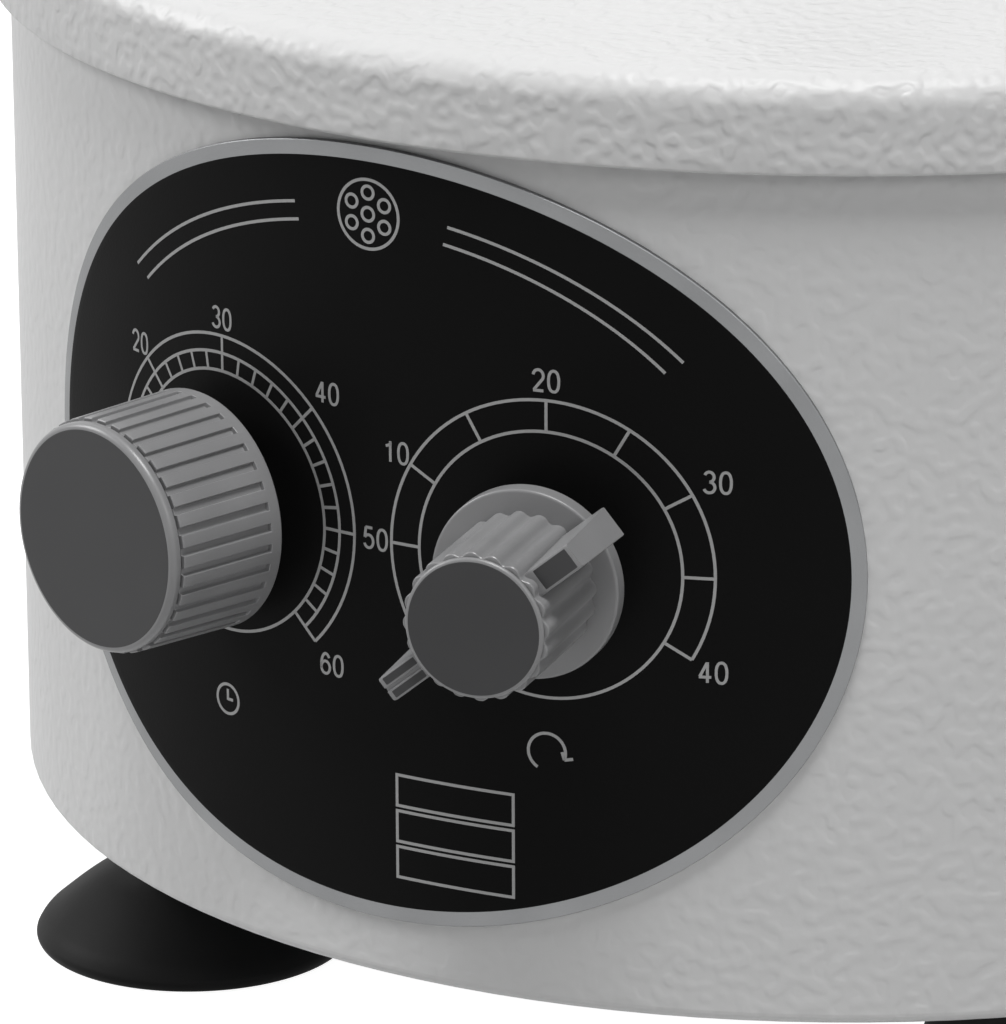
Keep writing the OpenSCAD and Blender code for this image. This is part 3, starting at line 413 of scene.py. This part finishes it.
def lidShell():
    v = lidPress
    edge, radius, sheet, roll = lidLow[2], lidHigh[0], v["sheet"], v["roll"]
    flat = lidHigh[2] - v["rise"]
    t = np.linspace(0, 1, 21)
    # the crown climbs by half a cosine wave between its two radii
    crown = np.stack([v["crownOut"] + (v["crownIn"] - v["crownOut"]) * t,
                      flat + v["rise"] * (1 - np.cos(math.pi * t)) / 2], -1)
    middle = radius - v["shoulder"]
    level = flat - v["shoulder"]
    down = np.array([0, -sheet])
    across = np.linspace(0, 1, 9)[:, None]
    top = np.array([[v["crownIn"], flat + v["rise"]], [v["screwHole"], flat + v["rise"]]])
    inner = top[0] + (top[1] - top[0]) * across
    rim = np.array([[middle, flat]]) + (crown[0] - np.array([[middle, flat]])) * across[1:-1]
    wall = np.linspace(edge + 2.2 * roll, level, 8)[1:-1]
    profile = np.vstack([
        arc(radius - roll, edge + roll, roll, 180, 360, 12),
        np.stack([np.full(6, radius), wall], -1),
        arc(middle, level, v["shoulder"], 0, 90, 10), rim, crown, inner[1:],
        inner[::-1] + down, crown[::-1][1:] + down, rim[::-1] + down,
        arc(middle, level, v["shoulder"] - sheet, 90, 0, 8),
        np.stack([np.full(6, radius - sheet), wall[::-1]], -1)])
    grid = revolved(profile, v["cols"])
    piece("lidShell", [solid(grid, wrapRows=True)], "powderCoatLid", "lid", ["lid_shell"])


lidShell()

# Moulded knob in the middle of the lid, drawn in to a waist under its head
lidGrip = {"waist": 9.5 * mm, "head": 19 * mm, "height": 23 * mm, "cols": 128}


def lidKnob():
    v = lidGrip
    low = extent("lid_knob")[0][2]
    head, waist = v["head"], v["waist"]
    corners = [(0, 0, 0), (head - 7 * mm, 0, 0.3 * mm), (head - 7 * mm, 1.6 * mm, 0.8 * mm),
               (waist, 6 * mm, 3 * mm), (waist + 2 * mm, 10.5 * mm, 3 * mm), (head, 13 * mm, 2.2 * mm),
               (head, 18.4 * mm, 2.4 * mm), (head - 5 * mm, 21.4 * mm, 3 * mm),
               (head - 9 * mm, 22.4 * mm, 2 * mm), (0.001 * mm, v["height"], 0)]
    profile = softened(corners, 8)
    profile[:, 0] = np.maximum(profile[:, 0], 0.001 * mm)
    grid = revolved(profile, v["cols"])
    grid[:, :, 2] += low
    piece("lidKnob", [solid(grid)], "blackAbs", "lid", ["lid_knob"])


lidKnob()

# Rim seal: a bulb on a flat foot, with a fine moulding line along its crest
seal = {"width": 7 * mm, "ridge": 0.25 * mm, "cols": 360}


def rimSeal():
    v = seal
    low, high = extent("rim_gasket")
    outer, bottom, top, half = high[0], low[2], high[2], v["width"] / 2
    centre = outer - half
    crest = arc(centre, top - half, half, 0, 180, 24)
    angle = np.linspace(0, math.pi, 25)
    crest[:, 1] -= v["ridge"] * (1 - np.exp(-((angle - math.pi / 2) / 0.12) ** 2)) * np.sin(angle)
    base = np.array([[centre - half, bottom], [centre + half, bottom], [centre + half, bottom + 1.2 * mm],
                     [centre + half - 0.3 * mm, bottom + 1.6 * mm]])
    inside = np.array([[centre - half + 0.3 * mm, bottom + 1.6 * mm], [centre - half, bottom + 1.2 * mm]])
    grid = revolved(np.vstack([base, crest, inside]), v["cols"])
    piece("rimSeal", [solid(grid, wrapRows=True)], "sealRubber", "casing", ["rim_gasket"])


rimSeal()
print("stage lid and seal")

# Suction feet: a flared cup with a thin lip, a hollow underside and a neck
foot = {"radius": 28 * mm, "ring": 113 * mm, "cols": 128}


def suctionFeet():
    v = foot
    r, top = v["radius"], extent("suction_feet")[1][2]
    corners = [(0.3 * mm, 4 * mm, 0), (r - 14 * mm, 3.4 * mm, 4 * mm), (r - 6 * mm, 0, 1.5 * mm),
               (r - 0.9 * mm, 0, 0.9 * mm), (r, 1.7 * mm, 0.9 * mm), (r - 1.4 * mm, 4.2 * mm, 1.4 * mm),
               (r - 8.2 * mm, 10.1 * mm, 5 * mm), (r - 14.4 * mm, 14.2 * mm, 3 * mm),
               (r - 17 * mm, 17.4 * mm, 2 * mm), (r - 17 * mm, top, 0), (0.3 * mm, top, 0)]
    grid = revolved(softened(corners, 8), v["cols"])
    parts = []
    for k in range(4):
        turn = math.radians(45 + 90 * k)
        shift = np.array([v["ring"] * math.cos(turn), v["ring"] * math.sin(turn), 0])
        parts.append(solid(grid + shift))
    piece("suctionFeet", parts, "mouldedRubber", "casing", ["suction_feet"])


suctionFeet()

# Front plate: an oval wrapped on the drum, bare at its border and inked inside it
plateThick = 1 * mm
plate = {"halfWidth": drum["radius"] * math.asin(panelHigh[0] / (drum["radius"] + plateThick)),
         "halfHeight": (panelHigh[2] - panelLow[2]) / 2, "middle": (panelHigh[2] + panelLow[2]) / 2,
         "border": 2.5 * mm, "thick": plateThick, "edge": 0.25 * mm, "film": 0.04 * mm, "ink": 0.045 * mm,
         "cols": 256}


def oval(rows, cols):
    # rows of (share of the half axes, inset, height): the point at an angle is the inset half axes
    # times the share and the angle's cosine and sine, wrapped on the drum
    share, inset, out = (np.array(rows)[:, k:k + 1] for k in range(3))
    angle = np.arange(cols) / cols * 2 * math.pi
    across = (plate["halfWidth"] - inset) * share * np.cos(angle)
    up = (plate["halfHeight"] - inset) * share * np.sin(angle) + plate["middle"]
    return onSkin(across, up, out + 0 * across)


def ovalSolid(inset, bottom, top, edge):
    steps = np.linspace(0, 1, 6)
    low = [(s, inset, bottom) for s in np.linspace(0.02, 0.98, 22)]
    rim = [(1, inset, bottom)] + [(1, inset + edge * (1 - math.cos(t * math.pi / 2)),
                                   top - edge + edge * math.sin(t * math.pi / 2)) for t in steps]
    high = [(s, inset + edge, top) for s in np.linspace(0.98, 0.02, 22)]
    return solid(oval(low + rim + high, plate["cols"]))


def frontPlate():
    v = plate
    thick, border = v["thick"], v["border"]
    piece("frontPlate", [ovalSolid(0, 0.02 * mm, thick, v["edge"])], "brushedPlate", "casing",
          ["front_panel"])
    piece("panelFilm", [ovalSolid(border, thick - 0.05 * mm, thick + v["film"], 0.03 * mm)],
          "satinPanelInk", "casing")


frontPlate()

# Printed dials: radii in mm, angles clockwise from the top
timeDial = {"radii": (27.6, 24.7, 21.7), "first": -135, "last": 135, "marks": 7, "smallMarks": 31,
            "numbers": [(0, -135, 32.0), (10, -90, 31.6), (20, -45, 30.6), (30, 0, 30.5), (40, 45, 31.9),
                        (50, 90, 31.6), (60, 135, 32.3)]}
speedDial = {"radii": (27.0, 21.9), "first": -120, "last": 120, "marks": 9,
             "numbers": [(10, -60, 30.0), (20, 0, 30.2), (30, 60, 31.5), (40, 120, 30.9)]}
printed = {"line": 0.5 * mm, "stroke": 0.46 * mm, "wide": 1.68 * mm, "high": 3.38 * mm, "gap": 0.86 * mm}


def strip(path, width, closed=False):
    # a thin bar along a flat path: two edges half a width to each side, mitred, at two heights
    path = np.asarray(path, float)
    ahead = np.roll(path, -1, 0) - path
    ahead /= np.linalg.norm(ahead, axis=1, keepdims=True) + 1e-12
    if not closed:
        ahead[-1] = ahead[-2]
    behind = np.roll(ahead, 1, 0)
    if not closed:
        behind[0] = ahead[0]
    side = np.stack([ahead[:, 1] + behind[:, 1], -ahead[:, 0] - behind[:, 0]], -1)
    side /= 1 + (ahead * behind).sum(1, keepdims=True)
    left, right = path - side * width / 2, path + side * width / 2
    low, high = plate["thick"] + 0.5 * plate["film"], plate["thick"] + plate["film"] + plate["ink"]
    ring = [(left, low), (right, low), (right, high), (left, high)]
    grid = np.stack([onSkin(edge[:, 0], edge[:, 1], np.full(len(path), out)) for edge, out in ring], 1)
    return solid(grid, wrapRows=closed)


def along(a, b, step=2 * mm):
    a, b = np.array(a, float), np.array(b, float)
    count = max(2, int(np.linalg.norm(b - a) / step) + 2)
    return a + (b - a) * np.linspace(0, 1, count)[:, None]


def sweep(centre, radius, first, last):
    # points clockwise from the top round a dial's centre
    count = max(12, int(abs(last - first) / 3))
    angle = np.radians(np.linspace(first, last, count + 1))
    return np.stack([centre[0] + radius * np.sin(angle), centre[1] + radius * np.cos(angle)], -1)


def ring(centre, radius, width):
    return strip(sweep(centre, radius, 0, 360)[:-1], width, closed=True)


def ray(centre, angle, inner, outer, width):
    way = np.array([math.sin(math.radians(angle)), math.cos(math.radians(angle))])
    return strip(along(centre + way * inner, centre + way * outer), width)


def bow(x, y, wide, high, first, last):
    # part of an ellipse, clockwise from the first angle to the last, in shares of a figure's box
    angle = np.radians(np.linspace(first, last, max(6, int(abs(first - last) / 12))))
    return np.stack([x + wide * np.cos(angle), y + high * np.sin(angle)], -1)


def numeral(digit):
    # centre lines of one figure in a box one wide and one high
    if digit == "0":
        turn = np.arange(36) * math.pi / 18
        curve = [np.sign(f(turn)) * np.abs(f(turn)) ** 0.86 / 2 + 0.5 for f in (np.cos, np.sin)]
        return [np.stack(curve, -1)]
    return {
        "1": [[(0.62, 1), (0.62, 0.5), (0.62, 0)], [(0.66, 0.95), (0.5, 0.82), (0.14, 0.75)]],
        "2": [np.vstack([bow(0.5, 0.71, 0.5, 0.29, 172, -28), [(0.55, 0.33), (0.06, 0.02)]]),
              [(0, 0), (0.5, 0), (1, 0)]],
        "3": [bow(0.48, 0.76, 0.44, 0.24, 158, -90), bow(0.48, 0.26, 0.52, 0.26, 90, -160)],
        "4": [[(0.66, 0.97), (0.35, 0.66), (-0.02, 0.29)], [(-0.1, 0.27), (0.5, 0.27), (1.06, 0.27)],
              [(0.7, 1), (0.7, 0.5), (0.7, 0)]],
        "5": [[(0.92, 1), (0.5, 1), (0.17, 1)], [(0.2, 1), (0.13, 0.76), (0.06, 0.5)],
              bow(0.49, 0.32, 0.51, 0.32, 146, -160)],
        "6": [bow(0.5, 0.31, 0.5, 0.31, 180, -180)[:-1], bow(0.54, 0.4, 0.54, 0.6, 196, 42)]}[digit]


def figure(text, centre):
    # digits side by side, each a set of strips along its centre lines
    wide, high, gap = printed["wide"], printed["high"], printed["gap"]
    start = centre[0] - (len(text) * wide + (len(text) - 1) * gap) / 2
    parts = []
    for k, digit in enumerate(text):
        corner = np.array([start + k * (wide + gap), centre[1] - high / 2])
        for path in numeral(digit):
            closed = digit == "0" or (digit == "6" and len(path) > 20)
            parts.append(strip(corner + np.array(path) * (wide, high), printed["stroke"], closed))
    return parts


def dialArt(name, dial, angle):
    centre = np.array([angle * drum["radius"], dialZ])
    radii = [r * mm for r in dial["radii"]]
    line = printed["line"]
    parts = [ring(centre, radii[-1], line)]
    parts += [strip(sweep(centre, r, dial["first"], dial["last"]), line) for r in radii[:-1]]
    parts += [ray(centre, a, radii[-1], radii[0], line)
              for a in np.linspace(dial["first"], dial["last"], dial["marks"])]
    if "smallMarks" in dial:
        # a small mark that would fall on a long one is left out
        small = np.linspace(dial["first"], dial["last"], dial["smallMarks"])
        between = (dial["smallMarks"] - 1) // (dial["marks"] - 1)
        parts += [ray(centre, a, radii[-1], radii[1], line) for k, a in enumerate(small) if k % between]
    piece(name + "Scale", parts, "silverInk", "casing")
    parts = []
    for number, turn, radius in dial["numbers"]:
        way = np.array([math.sin(math.radians(turn)), math.cos(math.radians(turn))])
        parts += figure(str(number), centre + way * radius * mm)
    piece(name + "Figures", parts, "silverInk", "casing")


dialArt("time", timeDial, timerAngle)
dialArt("speed", speedDial, speedAngle)

# Plain signs: a six-place rotor between arcs, a clock, a turning arrow and three fields
signs = {"rotor": 5.6 * mm, "rotorUp": 53.2 * mm, "hub": 1.1 * mm, "places": 3.5 * mm, "tube": 1.05 * mm,
         "clock": 2.5 * mm, "clockUp": -33.9 * mm, "minuteHand": 1.7 * mm, "hourHand": 1.2 * mm,
         "turn": 3.1 * mm, "turnUp": -31.0 * mm, "barb": 1.3 * mm, "fieldLow": 48.3 * mm,
         "fieldHigh": 5.2 * mm, "fieldPitch": 6.1 * mm, "fieldLeft": 4.4 * mm, "fieldRight": 25.1 * mm}


def plainSigns():
    v = signs
    line = printed["line"]
    a, b = plate["halfWidth"], plate["halfHeight"]
    parts = []
    hub = np.array([0, plate["middle"] + v["rotorUp"]])
    parts += [ring(hub, v["rotor"], line), ring(hub, v["hub"], line)]
    for k in range(6):
        turn = math.radians(60 * k)
        spot = hub + v["places"] * np.array([math.sin(turn), math.cos(turn)])
        parts.append(ring(spot, v["tube"], line))
    for share in (0.845, 0.80):
        for first, last in ((40, 78), (102, 140)):
            angle = np.radians(np.linspace(first, last, 40))
            path = np.stack([a * share * np.cos(angle), plate["middle"] + b * share * np.sin(angle)], -1)
            parts.append(strip(path, line))
    clock = np.array([timerAngle * drum["radius"], dialZ + v["clockUp"]])
    parts += [ring(clock, v["clock"], line), ray(clock, 0, -0.2 * mm, v["minuteHand"], line),
              ray(clock, 90, 0, v["hourHand"], line)]
    turnSpot = np.array([speedAngle * drum["radius"], dialZ + v["turnUp"]])
    parts.append(strip(sweep(turnSpot, v["turn"], -150, 110), line))
    tip = sweep(turnSpot, v["turn"], 110, 112)[0]
    for way in ((-0.3, 1.0), (1.1, 0.25)):
        parts.append(strip(along(tip, tip + np.array(way) * v["barb"]), line))
    for k in range(3):
        low = v["fieldLow"] + k * v["fieldPitch"]
        high = low + v["fieldHigh"]
        left, right = v["fieldLeft"], v["fieldRight"]
        corners = [(left, low), (right, low), (right, high), (left, high)]
        box = np.vstack([along(corners[i], corners[(i + 1) % 4])[:-1] for i in range(4)])
        parts.append(strip(box, line, closed=True))
    piece("panelSigns", parts, "silverInk", "casing")


plainSigns()
print("stage front plate")

# Timer knob: a drum with square grooves that start at a smooth band and run out at the front
timerGrip = {"radius": 19.7 * mm, "taper": 0.5 * mm, "back": 6.5 * mm, "band": 2.2 * mm, "front": 26.85 * mm,
             "grooves": 36, "grooveWidth": 1.3 * mm, "grooveDepth": 0.7 * mm, "cap": 18.75 * mm,
             "capBack": 27.2 * mm, "capFront": 28.98 * mm, "capEdge": 1.1 * mm, "paintedHighlightRim": 0.95 * mm}


def grooveColumns(count, radius, width, softness):
    # angles and depth shares round one groove, repeated: land, soft shoulder, wall, floor and back
    half = width / 2
    spots = np.array([-half - 3 * softness, -half - softness, -half - 0.35 * softness,
                      -half + 0.15 * softness, -half + softness, -half * 0.35,
                      half * 0.35, half - softness, half - 0.15 * softness,
                      half + 0.35 * softness, half + softness, half + 3 * softness])
    share = np.array([0, 0.02, 0.12, 0.8, 1, 1, 1, 1, 0.8, 0.12, 0.02, 0])
    pitch = 2 * math.pi / count
    turn = (np.arange(count) + 0.5) * pitch
    angles = (turn[:, None] + np.concatenate([[-pitch / 2], spots / radius])).ravel()
    return angles, np.tile(np.concatenate([[0], share]), count)


def capDisc(radius, front, cols):
    # a disc a hair proud of a cap's front, with a rounded edge, in painted shade: darker than the cap for
    # the shade on its forward face; the lighter ring of cap left round it is a painted highlight
    edge = softened([(radius - 0.05 * mm, front - 0.3 * mm, 0), (radius, front - 0.05 * mm, 0),
                     (radius - 0.12 * mm, front + 0.02 * mm, 0.1 * mm),
                     (radius * 0.8, front + 0.02 * mm, 0)], 5)
    inner = [(radius * share, front + 0.02 * mm) for share in (0.6, 0.4, 0.2, 0.05)]
    return solid(revolved(np.vstack([edge, inner]), cols))


def timerKnob():
    v = timerGrip
    back, front, radius = v["back"], v["front"], v["radius"]
    start = back + v["band"]
    slope = v["taper"] / (front - back)
    wall = np.linspace(start + 0.12 * mm, front - 0.3 * mm, 10)
    rows = [(back, radius - 3 * mm, 0), (back, radius - 0.5 * mm, 0),
            (back + 0.08 * mm, radius - 0.12 * mm, 0), (back + 0.3 * mm, radius, 0),
            (start - 0.1 * mm, radius - slope * v["band"], 0),
            (start, radius - slope * v["band"], 0.1)]
    rows += [(h, radius - slope * (h - back), 1) for h in wall]
    edge = radius - v["taper"]
    rows += [(front - 0.1 * mm, edge - 0.03 * mm, 1), (front, edge - 0.14 * mm, 1),
             (front, edge - v["grooveDepth"], 0.6), (front, edge - 1.3 * mm, 0), (front, edge - 2.5 * mm, 0)]
    table = np.array(rows)
    angles, share = grooveColumns(v["grooves"], radius, v["grooveWidth"], 0.11 * mm)
    depth = table[:, 2:3] * share[None, :] * v["grooveDepth"]
    grid = revolved(table[:, 1::-1], angles, depth)
    place = onDrum(timerAngle, dialZ)
    piece("timerKnob", [solid(grid)], "greyAbs", "timer_knob_set", ["timer_knob"], place, 25)
    cap, low, high, soft = v["cap"], v["capBack"], v["capFront"], v["capEdge"]
    corner = softened([(cap - 0.85 * mm, low, 0), (cap, low, 0.12 * mm), (cap, low + 0.4 * mm, 0)])
    profile = np.vstack([[(cap - 1.2 * mm, front - 0.1 * mm), (cap - 0.85 * mm, low)], corner[1:-1],
                         arc(cap - soft, high - soft, soft, 0, 90, 10), [(cap - 4 * mm, high)],
                         [(cap * s, high) for s in (0.6, 0.4, 0.2, 0.05)]])
    # the cap is left in the lighter grey in a ring round its darker disc: a painted highlight on its edge
    piece("timerKnobCap", [solid(revolved(profile, 192))], "greyAbs", "timer_knob_set",
          ["timer_knob_cap"], place, 25)
    piece("timerKnobDisc", [capDisc(cap - v["paintedHighlightRim"], high, 192)], "paintedShadeAbs", "timer_knob_set",
          (), place)


timerKnob()

# Speed knob: a skirt, a fluted barrel and a bar whose slotted tail is the pointer
speedGrip = {"skirt": 15.5 * mm, "skirtBack": 8.1 * mm, "skirtFront": 11.1 * mm, "barrel": 12 * mm,
             "front": 32.4 * mm, "flutes": 20, "fluteDepth": 0.7 * mm, "reach": 20 * mm,
             "barBack": 12.7 * mm,
             "barFront": 30.7 * mm, "barWide": 5.4 * mm, "barNarrow": 4.3 * mm, "slot": 0.7 * mm,
             "slotDepth": 0.35 * mm, "cap": 11.3 * mm, "capBack": 32.55 * mm, "capFront": 33.38 * mm,
             "capEdge": 0.6 * mm, "paintedHighlightRim": 0.5 * mm, "turn": 129.5}


def barSection(halfBack, halfFront, low, high, soft, slot, slotDepth):
    # outline of the bar across its width: a tapered block with soft edges and a slot in its front
    front = softened([(halfBack, low, 0), (halfFront, high, soft), (slot / 2 + 0.02 * mm, high, 0)], 4)
    groove = np.array([(slot / 2, high - 0.02 * mm), (slot / 2 - 0.05 * mm, high - slotDepth)])
    half = np.vstack([[(halfBack - 0.15 * mm, low)], [(halfBack, low + 0.15 * mm)], front[1:], groove])
    return np.vstack([half, half[::-1] * [-1, 1]])


def speedKnob():
    v = speedGrip
    place = onDrum(speedAngle, dialZ)
    axes, origin = place
    turn = math.radians(v["turn"])
    spin = np.array([[math.cos(turn), -math.sin(turn), 0], [math.sin(turn), math.cos(turn), 0], [0, 0, 1]])
    turned = (axes @ spin, origin)
    skirt, low, high = v["skirt"], v["skirtBack"], v["skirtFront"]
    skirtRows = softened([(skirt - 3 * mm, low, 0), (skirt, low, 0.25 * mm), (skirt, high, 0.55 * mm),
                          (v["barrel"] - 1.5 * mm, high, 0)], 6)
    parts = [solid(revolved(skirtRows, 160))]
    # the flutes are rounded hollows: the depth is a cosine lobe to the power of 1.4 between ribs
    cols = v["flutes"] * 16
    angles = np.arange(cols) / cols * 2 * math.pi
    wave = (0.5 - 0.5 * np.cos(angles * v["flutes"])) ** 1.4
    front, barrel = v["front"], v["barrel"]
    rows = np.array([(barrel, high - 0.1 * mm, 1), (barrel, high + 4 * mm, 1), (barrel, high + 9 * mm, 1),
                     (barrel, high + 14 * mm, 1), (barrel, front - 0.5 * mm, 1),
                     (barrel - 0.04 * mm, front - 0.2 * mm, 1), (barrel - 0.16 * mm, front - 0.05 * mm, 1),
                     (barrel - 0.32 * mm, front, 1),
                     (barrel - 1.1 * mm, front, 0.15), (barrel - 1.8 * mm, front, 0)])
    depth = rows[:, 2:3] * wave[None, :] * v["fluteDepth"]
    parts.append(solid(revolved(rows[:, :2], angles, depth)))
    # the bar is its section carried from one end to the other, drawn in over its last half millimetre
    stations = [(-1, 0.35), (-1, 0.1), (-0.985, 0.03), (-0.96, 0), (-0.6, 0), (-0.45, 0),
                (0.45, 0), (0.6, 0), (0.96, 0), (0.985, 0.03), (1, 0.1), (1, 0.35)]
    sections = []
    for share, drawn in stations:
        slotDepth = v["slotDepth"] if share > 0.5 else 0.02 * mm
        outline = barSection(v["barWide"] / 2 - drawn * mm, v["barNarrow"] / 2 - drawn * mm,
                             v["barBack"] + drawn * mm, v["barFront"] - drawn * mm, 0.45 * mm,
                             v["slot"], slotDepth)
        y = np.full(len(outline), share * v["reach"])
        sections.append(np.stack([outline[:, 0], y, outline[:, 1]], -1))
    parts.append(solid(np.array(sections)))
    # painted shade on the bar's front: thin strips of the darker grey, one towards the scale, two beside the
    # pointer's slot
    shadeStrips = []
    strips = ((-1, -1.72 * mm, 1.72 * mm), (1, 0.62 * mm, 1.82 * mm), (1, -1.82 * mm, -0.62 * mm))
    for side, near, far in strips:
        ends = np.array([barrel + 0.7 * mm, barrel + 0.8 * mm, v["reach"] - 0.8 * mm, v["reach"] - 0.7 * mm])
        drawn = np.array([0.1, 0, 0, 0.1]) * mm
        low, high = v["barFront"] - 0.2 * mm, v["barFront"] + 0.03 * mm
        rows = []
        for y, inset in zip(ends, drawn):
            outline = [(near + inset, low), (far - inset, low), (far - inset, high - inset / 3),
                       (near + inset, high - inset / 3)]
            rows.append([(x, side * y, h) for x, h in outline])
        shadeStrips.append(solid(np.array(rows)))
    piece("speedKnobShadeStrips", shadeStrips, "paintedShadeAbs", "speed_knob_set", (), turned, 25)
    piece("speedKnob", parts, "greyAbs", "speed_knob_set", ["speed_knob"], turned, 25)
    cap, low, high, soft = v["cap"], v["capBack"], v["capFront"], v["capEdge"]
    profile = np.vstack([[(cap - 0.9 * mm, front - 0.1 * mm), (cap - 0.7 * mm, low), (cap - 0.1 * mm, low)],
                         arc(cap - soft, high - soft, soft, 0, 90, 8),
                         [(cap * s, high) for s in (0.8, 0.6, 0.4, 0.2, 0.05)]])
    # the cap is left in the lighter grey in a ring round its darker disc: a painted highlight on its edge
    piece("speedKnobCap", [solid(revolved(profile, 160))], "greyAbs", "speed_knob_set",
          ["speed_knob_cap"], turned, 25)
    piece("speedKnobDisc", [capDisc(cap - v["paintedHighlightRim"], high, 160)], "paintedShadeAbs", "speed_knob_set",
          (), turned)


speedKnob()
print("stage knobs")

# Pan-head screws with a cross recess, whose depth is a share of the head's height
screws = {"cols": 48, "recess": 0.45}


def panScrew(r, length, head):
    # shank and domed head; the recess is a cross whose depth is the larger of two soft slots
    seat = np.array([(0.05 * mm, -length), (r * 0.8, -length), (r, -length + 0.4 * mm), (r, -0.01 * mm),
                     (1.85 * r, 0), (1.9 * r, 0.12 * head), (1.9 * r, 0.35 * head)])
    swell = np.linspace(0.1, 1, 9)
    dome = np.stack([1.9 * r * np.cos(swell * math.pi / 2),
                     0.35 * head + 0.65 * head * np.sin(swell * math.pi / 2)], -1)
    dome[-1, 0] = 0.02 * mm
    fine = np.stack([np.interp(np.linspace(0, 8, 22), np.arange(9), dome[:, k]) for k in (0, 1)], -1)
    grid = revolved(np.vstack([seat, fine]), screws["cols"])
    arm, wide = 1.1 * r, 0.3 * r
    x, y = np.abs(grid[:, :, 0]), np.abs(grid[:, :, 1])

    def inSlot(a, b):
        # 1 inside a slot's width and length, falling to 0 over its soft sides
        return np.clip((wide - a) / (0.12 * r) + 0.5, 0, 1) * np.clip((arm - b) / (0.3 * r) + 0.5, 0, 1)

    cross = np.maximum(inSlot(x, y), inSlot(y, x))
    grid[len(seat):, :, 2] -= (cross * screws["recess"] * head)[len(seat):]
    return grid


def screwSet(name, node, grid, frames, look="zincScrew"):
    parts = [solid(grid @ axes.T + origin) for axes, origin in frames]
    piece(name, parts, look, "casing", [node], sharp=40)


def ringFrames(count, radius, first, z, flip):
    frames = []
    for k in range(count):
        turn = math.radians(first + 360 / count * k)
        c, s = math.cos(turn), math.sin(turn)
        side = -1 if flip else 1
        axes = np.array([[c, -s * side, 0], [s, c * side, 0], [0, 0, side]])
        frames.append((axes, np.array([radius * c, radius * s, z])))
    return frames


sheet = 1.2 * mm
screwSet("baseScrews", "base_screws", panScrew(2 * mm, 6.2 * mm, 2.2 * mm),
         ringFrames(6, drum["radius"] - sheet - 7.5 * mm, 15, drum["bottom"], True))
screwSet("bowlScrews", "bowl_screws", panScrew(1.5 * mm, 6 * mm, 1.8 * mm),
         ringFrames(6, 115.2 * mm, 30, drum["deck"] + sheet, False))
hingeLow, hingeHigh = extent("hinge_screws")
hingeSide = math.asin((hingeHigh[0] - 2.85 * mm) / (drum["radius"] + 2 * mm))
hingeFrames = []
for side in (-1, 1):
    axes, origin = onDrum(math.pi + side * hingeSide, (hingeLow[2] + hingeHigh[2]) / 2)
    hingeFrames.append((axes, origin + axes[:, 2] * 2 * mm))
screwSet("hingeScrews", "hinge_screws", panScrew(1.5 * mm, 6.2 * mm, 1.8 * mm), hingeFrames)
print("stage screws")


# Studio: pale floor, white backdrop, and soft lamps from above, left and front

def backdropLevel(tree, straight, mirrored):
    # straight for a ray from the camera or through glass, mirrored for one off a glossy surface, else nought
    path = addNode(tree, "ShaderNodeLightPath")
    direct = addNode(tree, "ShaderNodeMath", {"operation": "MAXIMUM"},
                     {0: path.outputs["Is Camera Ray"], 1: path.outputs["Is Transmission Ray"]})
    first = addNode(tree, "ShaderNodeMath", {"operation": "MULTIPLY"}, {0: direct.outputs[0], 1: straight})
    second = addNode(tree, "ShaderNodeMath", {"operation": "MULTIPLY"},
                     {0: path.outputs["Is Glossy Ray"], 1: mirrored})
    return addNode(tree, "ShaderNodeMath", {"operation": "MAXIMUM"},
                   {0: first.outputs[0], 1: second.outputs[0]}).outputs[0]


def plainMaterial(name, colour, glow):
    # a matt surface, with a share of light of its own that only the camera and mirrors see
    material = bpy.data.materials.new(name)
    material.use_nodes = True
    tree = material.node_tree
    shader = tree.nodes["Principled BSDF"]
    shader.inputs["Base Color"].default_value = shade(colour)
    shader.inputs["Roughness"].default_value = 0.9
    shader.inputs["Emission Color"].default_value = (1, 1, 1, 1)
    tree.links.new(backdropLevel(tree, *glow), shader.inputs["Emission Strength"])
    return material


studio = {"floor": 6.0, "glow": 0.95, "mirrored": 0.45, "world": 0.13,
          "top": 18.5, "left": 11.0, "front": 4.2}


def softLamp(name, place, target, size, power):
    data = bpy.data.lights.new(name, "AREA")
    data.shape, data.size, data.size_y = "RECTANGLE", size[0], size[1]
    data.energy = power
    lamp = bpy.data.objects.new(name, data)
    bpy.context.scene.collection.objects.link(lamp)
    lamp.location = place
    lamp.rotation_euler = (Vector(place) - Vector(target)).to_track_quat("Z", "Y").to_euler()


def makeStudio():
    half = studio["floor"] / 2
    mesh = bpy.data.meshes.new("floor")
    corners = [(-half, -half, 0), (half, -half, 0), (half, half, 0), (-half, half, 0)]
    mesh.from_pydata(corners, [], [(0, 1, 2, 3)])
    mesh.materials.append(plainMaterial("paleFloor", "#C0C0C0", (studio["glow"], studio["mirrored"])))
    floor = bpy.data.objects.new("floor", mesh)
    bpy.context.scene.collection.objects.link(floor)
    world = bpy.data.worlds.new("studio")
    bpy.context.scene.world = world
    world.use_nodes = True
    tree = world.node_tree
    sky = tree.nodes["Background"]
    level = addNode(tree, "ShaderNodeMapRange", None,
                    {"Value": backdropLevel(tree, 1.0, 1.0), "To Min": studio["world"], "To Max": 1.0})
    sky.inputs["Color"].default_value = (1, 1, 1, 1)
    tree.links.new(level.outputs[0], sky.inputs["Strength"])
    softLamp("topLamp", (0.25, -0.4, 1.5), (0, 0, 0.1), (0.6, 0.6), studio["top"])
    softLamp("leftLamp", (-1.3, -0.6, 0.9), (0, 0, 0.1), (0.45, 0.6), studio["left"])
    softLamp("frontLamp", (1.4, -0.7, 1.0), (0, 0, 0.1), (0.5, 0.5), studio["front"])


makeStudio()
bpy.context.scene.view_settings.view_transform = "Standard"
print("stage studio")
